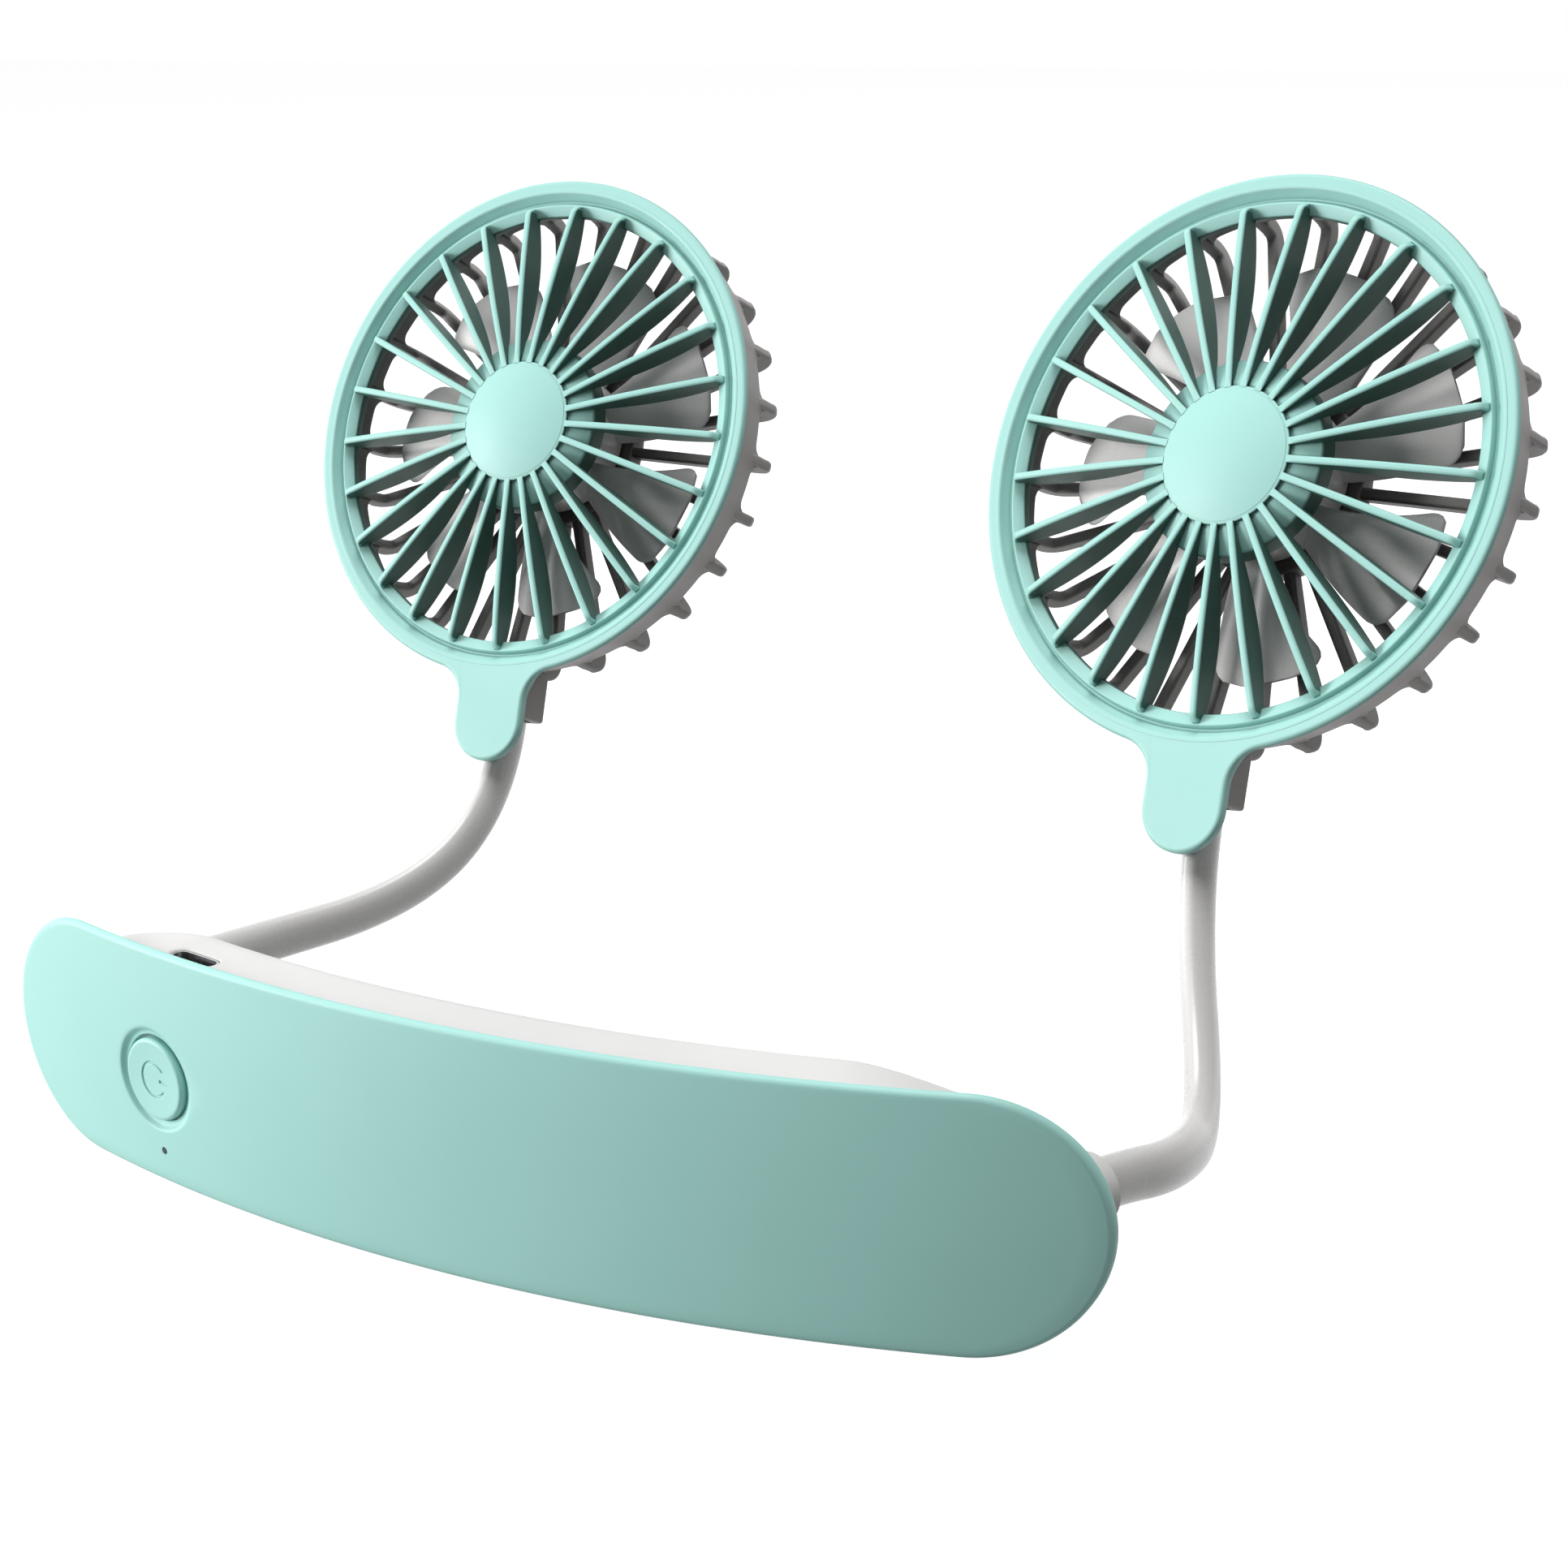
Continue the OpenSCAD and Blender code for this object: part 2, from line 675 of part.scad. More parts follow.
module tact_switch() {
    color(grey)
        at_station(-button_at, 0, -button_drop) {
            translate([-switch_side / 2, switch_front, -switch_side / 2])
                cube([switch_side, switch_height, switch_side]);
            round_bar(plunger_radius, switch_front - plunger_height, switch_front);
        }
}

module status_light() {
    color(blue)
        at_station(light_at) {
            translate([-light_width / 2, light_front, -light_end])
                cube([light_width, board_depth - light_front, light_end - light_top]);
            translate([0, 0, -light_drop]) {
                round_bar(light_pipe_radius, light_pipe_front, light_front);
                round_bar(light_hole / 2 - slip_gap, seat_gap, light_pipe_front);
            }
        }
}

module circuit_board() {
    color(green)
        at_station(board_at, board_depth)
            rounded_plate([board_length, board_height], board_corner, board_thickness);
}

module battery_cell(side) {
    color(grey)
        at_station(side * cell_at, cell_depth)
            rounded_plate([cell_length, cell_height], cell_corner, cell_thickness);
}

module left_battery_cell() {
    battery_cell(LEFT);
}

module right_battery_cell() {
    battery_cell(RIGHT);
}

module charging_socket() {
    color(steel)
        at_station(-socket_at, socket_depth, socket_top - socket_length) {
            difference() {
                linear_extrude(socket_length)
                    stadium(socket_width, socket_thickness);
                translate([0, 0, 2 * socket_wall])
                    linear_extrude(socket_length)
                        stadium(socket_width - 2 * socket_wall, socket_thickness - 2 * socket_wall);
            }
            translate([-socket_width * tongue_share / 2, -tongue_thickness / 2, socket_wall])
                cube([socket_width * tongue_share, tongue_thickness, socket_length - overrun - socket_wall]);
        }
}

module shell_screws() {
    color(steel)
        for (x = [-1, 1], z = [-1, 1])
            at_station(x * screw_at, 0, z * screw_z)
                difference() {
                    union() {
                        round_bar(screw_radius, screw_back - screw_head_depth - screw_length, screw_back);
                        round_bar(screw_head_radius, screw_back - screw_head_depth, screw_back);
                    }
                    for (turn = [0, 90])
                        rotate([0, turn, 0])
                            translate([-screw_radius, screw_back - screw_head_depth / 2, -socket_wall / 2])
                                cube([2 * screw_radius, screw_head_depth, socket_wall]);
                }
}

module arm_gland(side, splay) {
    color(white)
        at_exit(side, splay)
            difference() {
                union() {
                    round_bar(gland_radius, -gland_lip - gland_length, gland_out - gland_edge);
                    translate([0, gland_out - gland_edge, 0])
                        rotate([-90, 0, 0])
                            cylinder(r1 = gland_radius, r2 = gland_radius - gland_edge, h = gland_edge);
                }
                translate([0, -gland_lip - gland_length - overrun, 0])
                    arm_bore(gland_lip + gland_length + gland_out + 2 * overrun, seat_gap);
            }
}

module left_arm_gland() {
    arm_gland(LEFT, left_splay);
}

module right_arm_gland() {
    arm_gland(RIGHT, right_splay);
}

module skin(rings) {
    polyhedron(points = [for (ring = rings) each ring], faces = skin_faces(len(rings), arm_sides, true),
               convexity = 6);
}

module core_between(g, head, from, to) {
    us = places(from, to, sleeve_rings);
    last = (len(us) - 1) * core_sides;
    color(steel)
        polyhedron(
            points = [for (u = us) each arm_ring(g, head, u, core_radius, core_radius, core_sides)],
            faces = concat(skin_faces(len(us), core_sides, false),
                           [[for (j = [0:core_sides - 1]) j]],
                           [[for (j = [core_sides - 1:-1:0]) last + j]]),
            convexity = 4);
}

module root_sleeve(g, head) {
    color(white)
        skin(concat(
            [core_bore(g, head, root_end)],
            [arm_ring(g, head, root_end, arm_half_height, arm_half_width)],
            [arm_ring(g, head, 0, arm_half_height, arm_half_width)],
            ball_rings(g, head, spread_share, arm_half_width),
            [core_bore(g, head, 0)]));
}

module middle_sleeve(g, head, from, cup_size, to, ball_size) {
    color(white)
        skin(concat(
            cup_rings(g, head, from, cup_size),
            [for (u = places(from, to, sleeve_rings)) arm_ring(g, head, u, arm_half_height, arm_half_width)],
            ball_rings(g, head, to, ball_size),
            [for (u = places(to, from, sleeve_rings)) core_bore(g, head, u)]));
}

module neck_sleeve(g, head) {
    color(white)
        skin(concat(
            cup_rings(g, head, tilt_share, arm_half_height),
            [for (u = [arm_stretches, neck_end]) arm_ring(g, head, u, arm_half_height, arm_half_width)],
            [core_bore(g, head, neck_end)],
            [core_bore(g, head, arm_stretches)]));
}

module left_root_sleeve() {
    root_sleeve(left_guides, left_head);
}

module right_root_sleeve() {
    root_sleeve(right_guides, right_head);
}

module left_lower_sleeve() {
    middle_sleeve(left_guides, left_head, spread_share, arm_half_width, lift_share, arm_half_height);
}

module right_lower_sleeve() {
    middle_sleeve(right_guides, right_head, spread_share, arm_half_width, lift_share, arm_half_height);
}

module left_upper_sleeve() {
    middle_sleeve(left_guides, left_head, lift_share, arm_half_height, tilt_share, arm_half_height);
}

module right_upper_sleeve() {
    middle_sleeve(right_guides, right_head, lift_share, arm_half_height, tilt_share, arm_half_height);
}

module lower_core(g, head) {
    core_between(g, head, spread_share, lift_share);
}

module upper_core(g, head) {
    core_between(g, head, lift_share, tilt_share);
}

module left_lower_core() {
    lower_core(left_guides, left_head);
}

module right_lower_core() {
    lower_core(right_guides, right_head);
}

module left_upper_core() {
    upper_core(left_guides, left_head);
}

module right_upper_core() {
    upper_core(right_guides, right_head);
}

module left_neck_sleeve() {
    neck_sleeve(left_guides, left_head);
}

module right_neck_sleeve() {
    neck_sleeve(right_guides, right_head);
}

module ring_section() {
    edge_x = ring_radius - rim_edge;
    translate([edge_x, -rim_edge])
        intersection() {
            circle(r = rim_edge, $fn = 32);
            square(rim_edge);
        }
    polygon([[ring_radius - rim_flat, 0], [edge_x, 0], [edge_x, -rim_edge], [ring_radius, -rim_edge],
             [ring_radius, -rim_depth], [lip_outer, -rim_depth], [lip_outer - lip_slope, -lip_depth],
             [ledge_inner, -lip_depth], [ledge_inner, -ledge_depth - ledge_drop], [ledge_outer, -ledge_depth],
             [ledge_outer + ledge_slope, -groove_depth], [groove_outer, -groove_depth]]);
}

module hub_section() {
    intersection() {
        translate([0, dome_edge + dome_rise - dome_curve])
            circle(r = dome_curve, $fn = arc_steps);
        translate([0, skirt_edge])
            square([dome_radius, dome_edge + dome_rise]);
    }
    polygon([[0, skirt_edge], [0, skirt_top], [dome_radius + skirt_step, skirt_top], [skirt_radius, skirt_edge],
             [skirt_radius, -skirt_base], [skirt_radius - skirt_wall, -skirt_base],
             [skirt_radius - skirt_wall, -skirt_wall / 2], [dome_radius, skirt_edge]]);
}

// Side view of a vane, from the hub outward and from its back edge to its front edge
module vane_section() {
    translate([vane_end, vane_end_rise - vane_end_radius])
        circle(r = vane_end_radius, $fn = 48);
    intersection() {
        translate([vane_crest, vane_crest_rise - vane_curve])
            circle(r = vane_curve, $fn = arc_steps);
        translate([vane_belly, vane_belly_back + vane_back_curve])
            circle(r = vane_back_curve, $fn = arc_steps);
        translate([vane_start, -vane_depth])
            square([vane_end - vane_start, 3 * vane_depth]);
    }
}

module tab_outline() {
    translate([0, -tab_centre])
        circle(r = tab_radius);
    translate([-tab_radius, -tab_centre])
        square([tab_width, tab_centre - ring_radius + rim_flat / 2]);
    for (x = [-1, 1])
        difference() {
            polygon([[x * tab_radius, -fillet_y], [x * fillet_x, -fillet_y],
                     ring_radius / (ring_radius + tab_fillet) * [x * fillet_x, -fillet_y],
                     [x * tab_radius, -ring_radius + rim_flat / 2]]);
            translate([x * fillet_x, -fillet_y])
                circle(r = tab_fillet);
        }
}

module front_grille(head) {
    color(mint)
        at_head(head) {
            rotate_extrude($fn = 2 * $fn)
                ring_section();
            rotate_extrude()
                hub_section();
            for (k = [0:vane_count - 1])
                rotate([90, 0, vane_phase + k * 360 / vane_count])
                    linear_extrude(vane_thickness, center = true)
                        vane_section();
            translate([0, 0, -tab_thickness])
                linear_extrude(tab_thickness)
                    tab_outline();
        }
}

module left_front_grille() {
    front_grille(left_head);
}

module right_front_grille() {
    front_grille(right_head);
}

// Side view of a rib, from the cage's wall round the bend to the hub disc
module rib_section() {
    bend_x = rib_outer - rib_bend;
    translate([bend_x, -rib_bend_depth])
        intersection() {
            circle(r = rib_bend);
            translate([0, -rib_bend])
                square([rib_bend, rib_bend]);
        }
    polygon([[rib_outer_front - cage_wall, -rib_inner_start], [rib_outer_front, -rib_front],
             [rib_outer, -rib_bend_depth], [bend_x, -rib_bend_depth],
             [bend_x, -rib_bend_depth - rib_bend], [hub_disc_radius - skirt_step, -head_depth],
             [hub_disc_radius - skirt_step, -head_depth + rib_depth],
             [bend_x - rib_knee, -rib_bend_depth + slip_gap]]);
}

module rear_cage(head) {
    color(white)
        at_head(head)
            difference() {
                union() {
                    rotate_extrude($fn = 2 * $fn)
                        polygon([[wall_outer_front - cage_wall, -cage_front], [wall_outer_front, -cage_front],
                                 [wall_outer_back, -wall_back], [wall_outer_back - cage_wall, -wall_back]]);
                    for (k = [0:rib_count - 1])
                        rotate([90, 0, rib_phase + k * 360 / rib_count])
                            linear_extrude(rib_thickness, center = true)
                                rib_section();
                    translate([0, 0, -hub_disc_back])
                        cylinder(r = hub_disc_radius, h = hub_disc_back - hub_disc_front);
                    translate([0, 0, -hub_boss_back])
                        cylinder(r = hub_boss_radius, h = hub_boss_back - hub_disc_back + overrun);
                    translate([-neck_half, -neck_reach, -neck_back])
                        cube([2 * neck_half, neck_reach - lip_outer - slip_gap, neck_back - neck_front]);
                }
                translate([0, 0, -motor_back - slip_gap])
                    cylinder(r = motor_radius + slip_gap, h = motor_back);
                for (x = [-1, 1])
                    translate([x * motor_screw_at, 0, -hub_boss_back - overrun])
                        cylinder(r = motor_screw_radius + slip_gap, h = hub_boss_back);
                translate([0, -neck_reach - overrun, -neck_centre])
                    arm_bore(neck_depth + slip_gap + overrun);
                translate([0, 0, -tab_thickness - slip_gap])
                    linear_extrude(tab_thickness + slip_gap)
                        tab_outline();
            }
}

module left_rear_cage() {
    rear_cage(left_head);
}

module right_rear_cage() {
    rear_cage(right_head);
}

module motor(head) {
    color(steel)
        at_head(head)
            difference() {
                union() {
                    translate([0, 0, -motor_back])
                        cylinder(r = motor_radius, h = motor_back - motor_front - motor_edge);
                    translate([0, 0, -motor_front - motor_edge])
                        cylinder(r1 = motor_radius, r2 = motor_radius - motor_edge, h = motor_edge);
                }
                translate([0, 0, -bearing_back])
                    cylinder(r = bearing_radius, h = bearing_back);
                translate([0, 0, -shaft_back - shaft_room])
                    cylinder(r = shaft_radius + shaft_room, h = shaft_back);
                for (x = [-1, 1])
                    translate([x * motor_screw_at, 0, -motor_back - overrun])
                        cylinder(r = motor_screw_radius, h = motor_back - motor_screw_front + overrun);
            }
}

module left_motor() {
    motor(left_head);
}

module right_motor() {
    motor(right_head);
}

module motor_bearing(head) {
    color([0.72, 0.6, 0.35])
        at_head(head)
            difference() {
                translate([0, 0, -bearing_back])
                    cylinder(r = bearing_radius, h = bearing_back - bearing_front);
                translate([0, 0, -bearing_back - overrun])
                    cylinder(r = shaft_radius + running_gap, h = bearing_back);
            }
}

module left_motor_bearing() {
    motor_bearing(left_head);
}

module right_motor_bearing() {
    motor_bearing(right_head);
}

module motor_screws(head) {
    color(steel)
        at_head(head)
            for (x = [-1, 1])
                translate([x * motor_screw_at, 0, 0]) {
                    translate([0, 0, -hub_boss_back])
                        cylinder(r = motor_screw_radius, h = hub_boss_back - motor_screw_front);
                    translate([0, 0, -hub_boss_back - motor_screw_head_depth])
                        cylinder(r = motor_screw_head, h = motor_screw_head_depth);
                }
}

module left_motor_screws() {
    motor_screws(left_head);
}

module right_motor_screws() {
    motor_screws(right_head);
}

module motor_shaft(head) {
    color(steel)
        at_head(head)
            translate([0, 0, -shaft_back])
                cylinder(r = shaft_radius, h = shaft_back - shaft_front);
}

module left_motor_shaft() {
    motor_shaft(left_head);
}

module right_motor_shaft() {
    motor_shaft(right_head);
}

module blade() {
    rows = blade_rows;
    cols = blade_columns;
    back = rows * cols;
    polyhedron(
        points = concat(blade_points(-1), blade_points(1)),
        faces = [
            for (i = [0:rows - 2], j = [0:cols - 2])
                let(a = i * cols + j, b = a + cols)
                each [[a, a + 1, b + 1], [a, b + 1, b], [back + a, back + b, back + b + 1],
                      [back + a, back + b + 1, back + a + 1]],
            for (j = [0:cols - 2], i = [0, rows - 1])
                let(a = i * cols + j, b = back + a)
                each i == 0 ? [[a, b, b + 1], [a, b + 1, a + 1]] : [[a, b + 1, b], [a, a + 1, b + 1]],
            for (i = [0:rows - 2], j = [0, cols - 1])
                let(a = i * cols + j, b = back + a)
                each j == 0 ? [[a, a + cols, b + cols], [a, b + cols, b]]
                            : [[a, b + cols, a + cols], [a, b, b + cols]]
        ],
        convexity = 4);
}

module impeller(head) {
    color(white)
        at_head(head)
            difference() {
                union() {
                    translate([0, 0, -impeller_hub_back])
                        cylinder(r = impeller_hub_radius,
                                 h = impeller_hub_back - impeller_hub_front - impeller_hub_edge);
                    translate([0, 0, -impeller_hub_front - impeller_hub_edge])
                        cylinder(r1 = impeller_hub_radius, r2 = impeller_hub_radius - impeller_hub_edge,
                                 h = impeller_hub_edge);
                    for (k = [0:blade_count - 1])
                        rotate([0, 0, blade_phase + k * 360 / blade_count])
                            blade();
                }
                difference() {
                    translate([0, 0, -impeller_hub_back - overrun])
                        cylinder(r = impeller_room_radius, h = impeller_hub_back - impeller_room_front + overrun);
                    translate([0, 0, -impeller_boss_back])
                        cylinder(r = impeller_boss_radius, h = impeller_boss_back - impeller_hub_front);
                }
                translate([0, 0, -impeller_hub_back])
                    cylinder(r = shaft_radius, h = impeller_hub_back - shaft_front);
            }
}

module left_impeller() {
    impeller(left_head);
}

module right_impeller() {
    impeller(right_head);
}

front_panel();
rear_shell();
power_button();
tact_switch();
status_light();
circuit_board();
left_battery_cell();
right_battery_cell();
charging_socket();
shell_screws();
left_arm_gland();
right_arm_gland();
left_root_sleeve();
right_root_sleeve();
left_lower_sleeve();
right_lower_sleeve();
left_lower_core();
right_lower_core();
left_upper_sleeve();
right_upper_sleeve();
left_upper_core();
right_upper_core();
left_neck_sleeve();
right_neck_sleeve();
left_front_grille();
right_front_grille();
left_rear_cage();
right_rear_cage();
left_motor();
right_motor();
left_motor_bearing();
right_motor_bearing();
left_motor_screws();
right_motor_screws();
left_impeller();
right_impeller();
left_motor_shaft();
right_motor_shaft();
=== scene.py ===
import bmesh
import math
import bpy
import numpy as np
from mathutils import Matrix, Vector


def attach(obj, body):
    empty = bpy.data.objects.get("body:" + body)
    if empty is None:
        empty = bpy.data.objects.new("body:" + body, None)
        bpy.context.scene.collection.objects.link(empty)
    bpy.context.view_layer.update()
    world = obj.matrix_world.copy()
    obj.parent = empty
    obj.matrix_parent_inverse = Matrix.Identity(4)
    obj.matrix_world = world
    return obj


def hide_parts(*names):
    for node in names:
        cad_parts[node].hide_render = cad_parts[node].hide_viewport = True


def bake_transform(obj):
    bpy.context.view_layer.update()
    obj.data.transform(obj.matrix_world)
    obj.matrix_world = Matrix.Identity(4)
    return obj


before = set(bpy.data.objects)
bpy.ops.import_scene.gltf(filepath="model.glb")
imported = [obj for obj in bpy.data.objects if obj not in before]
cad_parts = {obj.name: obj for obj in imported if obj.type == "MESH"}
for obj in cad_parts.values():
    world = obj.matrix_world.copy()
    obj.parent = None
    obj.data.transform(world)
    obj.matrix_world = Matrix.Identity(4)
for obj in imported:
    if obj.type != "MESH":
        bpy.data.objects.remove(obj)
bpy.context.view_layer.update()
print("frame loaded")

mm = 0.001
sides = ("left", "right")

# Camera

view = {
    "place": (186.6719, -272.8094, 149.724),      # in millimetres, as the floor's height is
    "right": (0.888481, 0.458773, -0.011388),
    "up": (-0.127013, 0.269674, 0.954539),
    "lens": 60.145,
    "sensor": 36.0,
    "floor": -18.4,
}


def addObject(name, data):
    # An object of the data, in the scene
    piece = bpy.data.objects.new(name, data)
    bpy.context.scene.collection.objects.link(piece)
    return piece


def placeCamera():
    # The photo's camera: its right and up are made exactly square before they become its rows
    data = bpy.data.cameras.new("photoCamera")
    data.lens = view["lens"]
    data.sensor_width = view["sensor"]
    data.sensor_fit = "HORIZONTAL"
    data.clip_end = 20.0
    camera = addObject("photoCamera", data)
    right = np.array(view["right"]) / np.linalg.norm(view["right"])
    up = np.array(view["up"]) - right * np.dot(right, view["up"])
    up /= np.linalg.norm(up)
    turn = np.eye(4)
    turn[:3, 0], turn[:3, 1], turn[:3, 2] = right, up, np.cross(right, up)
    turn[:3, 3] = np.array(view["place"]) * mm
    camera.matrix_world = Matrix(turn.tolist())
    bpy.context.scene.camera = camera


placeCamera()
bpy.context.scene.view_settings.view_transform = "Standard"
print("camera placed")


# Finishes: groups that several materials share, then one material for each kind of piece


def newGroup(name, inputs, outputs):
    # An empty group with its sockets; gives its tree, what comes in and what goes out
    tree = bpy.data.node_groups.new(name, "ShaderNodeTree")
    for label, kind, value in inputs:
        tree.interface.new_socket(name=label, in_out="INPUT", socket_type="NodeSocket" + kind).default_value = value
    for label, kind in outputs:
        tree.interface.new_socket(name=label, in_out="OUTPUT", socket_type="NodeSocket" + kind)
    return tree, tree.nodes.new("NodeGroupInput").outputs, tree.nodes.new("NodeGroupOutput").inputs


def addNode(tree, kind, inputs, **settings):
    # A node with its settings; each input takes a value or another node's output
    node = tree.nodes.new("ShaderNode" + kind)
    for key, value in settings.items():
        setattr(node, key, value)
    for key, value in inputs.items():
        if isinstance(value, bpy.types.NodeSocket):
            tree.links.new(value, node.inputs[key])
        else:
            node.inputs[key].default_value = value
    return node


def blendColours(tree, factor, a, b):
    # a where the factor is 0, b where it is 1
    return addNode(tree, "Mix", {0: factor, 6: a, 7: b}, data_type="RGBA").outputs[2]


def objectPlace(tree):
    return addNode(tree, "TexCoord", {}).outputs["Object"]


def noiseAt(tree, where, scale, detail):
    return addNode(tree, "TexNoise", {"Vector": where, "Scale": scale, "Detail": detail}).outputs["Fac"]


def spread(tree, value, ends, low=0.0, high=1.0):
    # The value as a share of the way between two ends, carried onto low to high
    return addNode(tree, "MapRange", {"Value": value, 1: ends[0], 2: ends[1], 3: low, 4: high}).outputs[0]


def times(tree, a, b):
    return addNode(tree, "Math", {0: a, 1: b}, operation="MULTIPLY").outputs[0]


texture = {
    "cloudEnds": (0.35, 0.65), "rubScale": 90.0, "rubEnds": (0.12, 0.38),
    "edgeEnds": (0.985, 0.8), "breakScale": 160.0, "breakEnds": (0.4, 0.62), "wearRadius": 0.0004,
    "upEnds": (0.45, 0.95), "dustScale": 70.0, "dustEnds": (0.42, 0.7), "dustColor": (0.7, 0.68, 0.64, 1),
    "streakEnds": (0.3, 0.7), "flankShade": -0.6, "tintAmount": 0.6, "bumpHeight": 0.0002, "coatRough": 0.25,
    "paintedShadeShare": 0.35,
}


def mouldedGroup():
    # Slow clouds shift the colour towards a tint; a fine grain gives height and, where slower patches let it
    # through, roughness
    tree, given, result = newGroup(
        "mouldedSurface",
        [("Color", "Color", (0.8, 0.8, 0.8, 1)), ("Tint", "Color", (0.7, 0.7, 0.7, 1)), ("Tint Amount", "Float", 0.3),
         ("Cloud Scale", "Float", 30.0), ("Grain Scale", "Float", 2500.0), ("Rough Low", "Float", 0.4),
         ("Rough High", "Float", 0.5)],
        [("Color", "Color"), ("Roughness", "Float"), ("Height", "Float")])
    where = objectPlace(tree)
    cloud = spread(tree, noiseAt(tree, where, given["Cloud Scale"], 4.0), texture["cloudEnds"])
    grain = noiseAt(tree, where, given["Grain Scale"], 2.0)
    rub = times(tree, grain, noiseAt(tree, where, texture["rubScale"], 3.0))
    tint = times(tree, cloud, given["Tint Amount"])
    tree.links.new(blendColours(tree, tint, given["Color"], given["Tint"]), result["Color"])
    rough = spread(tree, rub, texture["rubEnds"], given["Rough Low"], given["Rough High"])
    tree.links.new(rough, result["Roughness"])
    tree.links.new(grain, result["Height"])
    return tree


def wearGroup():
    # Edge wear and painted highlight: edges are where the rounded normal leaves the true one; a noise breaks the mask
    # up
    tree, given, result = newGroup("edgeWearAndHighlight", [("Amount", "Float", 0.4)], [("Mask", "Float")])
    soft = addNode(tree, "Bevel", {"Radius": texture["wearRadius"]}, samples=4).outputs[0]
    true = addNode(tree, "NewGeometry", {}).outputs["Normal"]
    same = addNode(tree, "VectorMath", {0: soft, 1: true}, operation="DOT_PRODUCT").outputs["Value"]
    gaps = spread(tree, noiseAt(tree, objectPlace(tree), texture["breakScale"], 4.0), texture["breakEnds"])
    mask = times(tree, spread(tree, same, texture["edgeEnds"]), gaps)
    tree.links.new(times(tree, mask, given["Amount"]), result["Mask"])
    return tree


def dustGroup():
    # Dust lies where the surface faces up at rest, in uneven patches
    tree, given, result = newGroup("dust", [("Amount", "Float", 0.05)], [("Mask", "Float")])
    where = addNode(tree, "TexCoord", {}).outputs
    up = spread(tree, addNode(tree, "SeparateXYZ", {0: where["Normal"]}).outputs[2], texture["upEnds"])
    patch = spread(tree, noiseAt(tree, where["Object"], texture["dustScale"], 5.0), texture["dustEnds"])
    tree.links.new(times(tree, times(tree, up, patch), given["Amount"]), result["Mask"])
    return tree


def brushedGroup():
    # Streaks of a noise that is drawn out along one axis, for roughness and height
    tree, given, result = newGroup(
        "brushedSurface",
        [("Streak", "Vector", (300.0, 300.0, 9000.0)), ("Rough Low", "Float", 0.25), ("Rough High", "Float", 0.45)],
        [("Fac", "Float"), ("Roughness", "Float")])
    long = addNode(tree, "VectorMath", {0: objectPlace(tree), 1: given["Streak"]}, operation="MULTIPLY").outputs[0]
    streak = noiseAt(tree, long, 1.0, 3.0)
    rough = spread(tree, streak, texture["streakEnds"], given["Rough Low"], given["Rough High"])
    tree.links.new(streak, result["Fac"])
    tree.links.new(rough, result["Roughness"])
    return tree


def paintedCreviceShadeGroup():
    # Painted shade: darker where the surface around hides the open air, and darker still on flanks that are marked
    tree, given, result = newGroup(
        "paintedCreviceShade",
        [("Reach", "Float", 0.008), ("Amount", "Float", 0.4), ("Open", "Float", 0.9), ("Shut", "Float", 0.35),
         ("Painted Flank Shade", "Float", 0.0)],
        [("Mask", "Float")])
    air = addNode(tree, "AmbientOcclusion", {"Distance": given["Reach"]}, samples=6).outputs["AO"]
    air = addNode(tree, "Math", {0: given["Painted Flank Shade"], 1: texture["flankShade"], 2: air}, operation="MULTIPLY_ADD")
    shut = spread(tree, air.outputs[0], (given["Open"], given["Shut"]))
    tree.links.new(times(tree, shut, given["Amount"]), result["Mask"])
    return tree


groups = {
    "moulded": mouldedGroup(), "wear": wearGroup(), "dust": dustGroup(), "brushed": brushedGroup(),
    "paintedCreviceShade": paintedCreviceShadeGroup(),
}
# gap, reach, open and shut set the painted shade in crevices
plain = {
    "clouds": 35.0, "grain": 2500, "wear": 0.25, "dust": 0.06, "reach": 0.008, "gap": 0.4, "open": 0.9, "shut": 0.35,
    "metal": 0.0, "specular": 0.4, "coat": 0.0,
}


def finish(color, tint, edge, rough, **rest):
    # One row of the table below: what it leaves out is plain
    return {**plain, "color": color, "tint": tint, "edge": edge, "rough": rough, **rest}


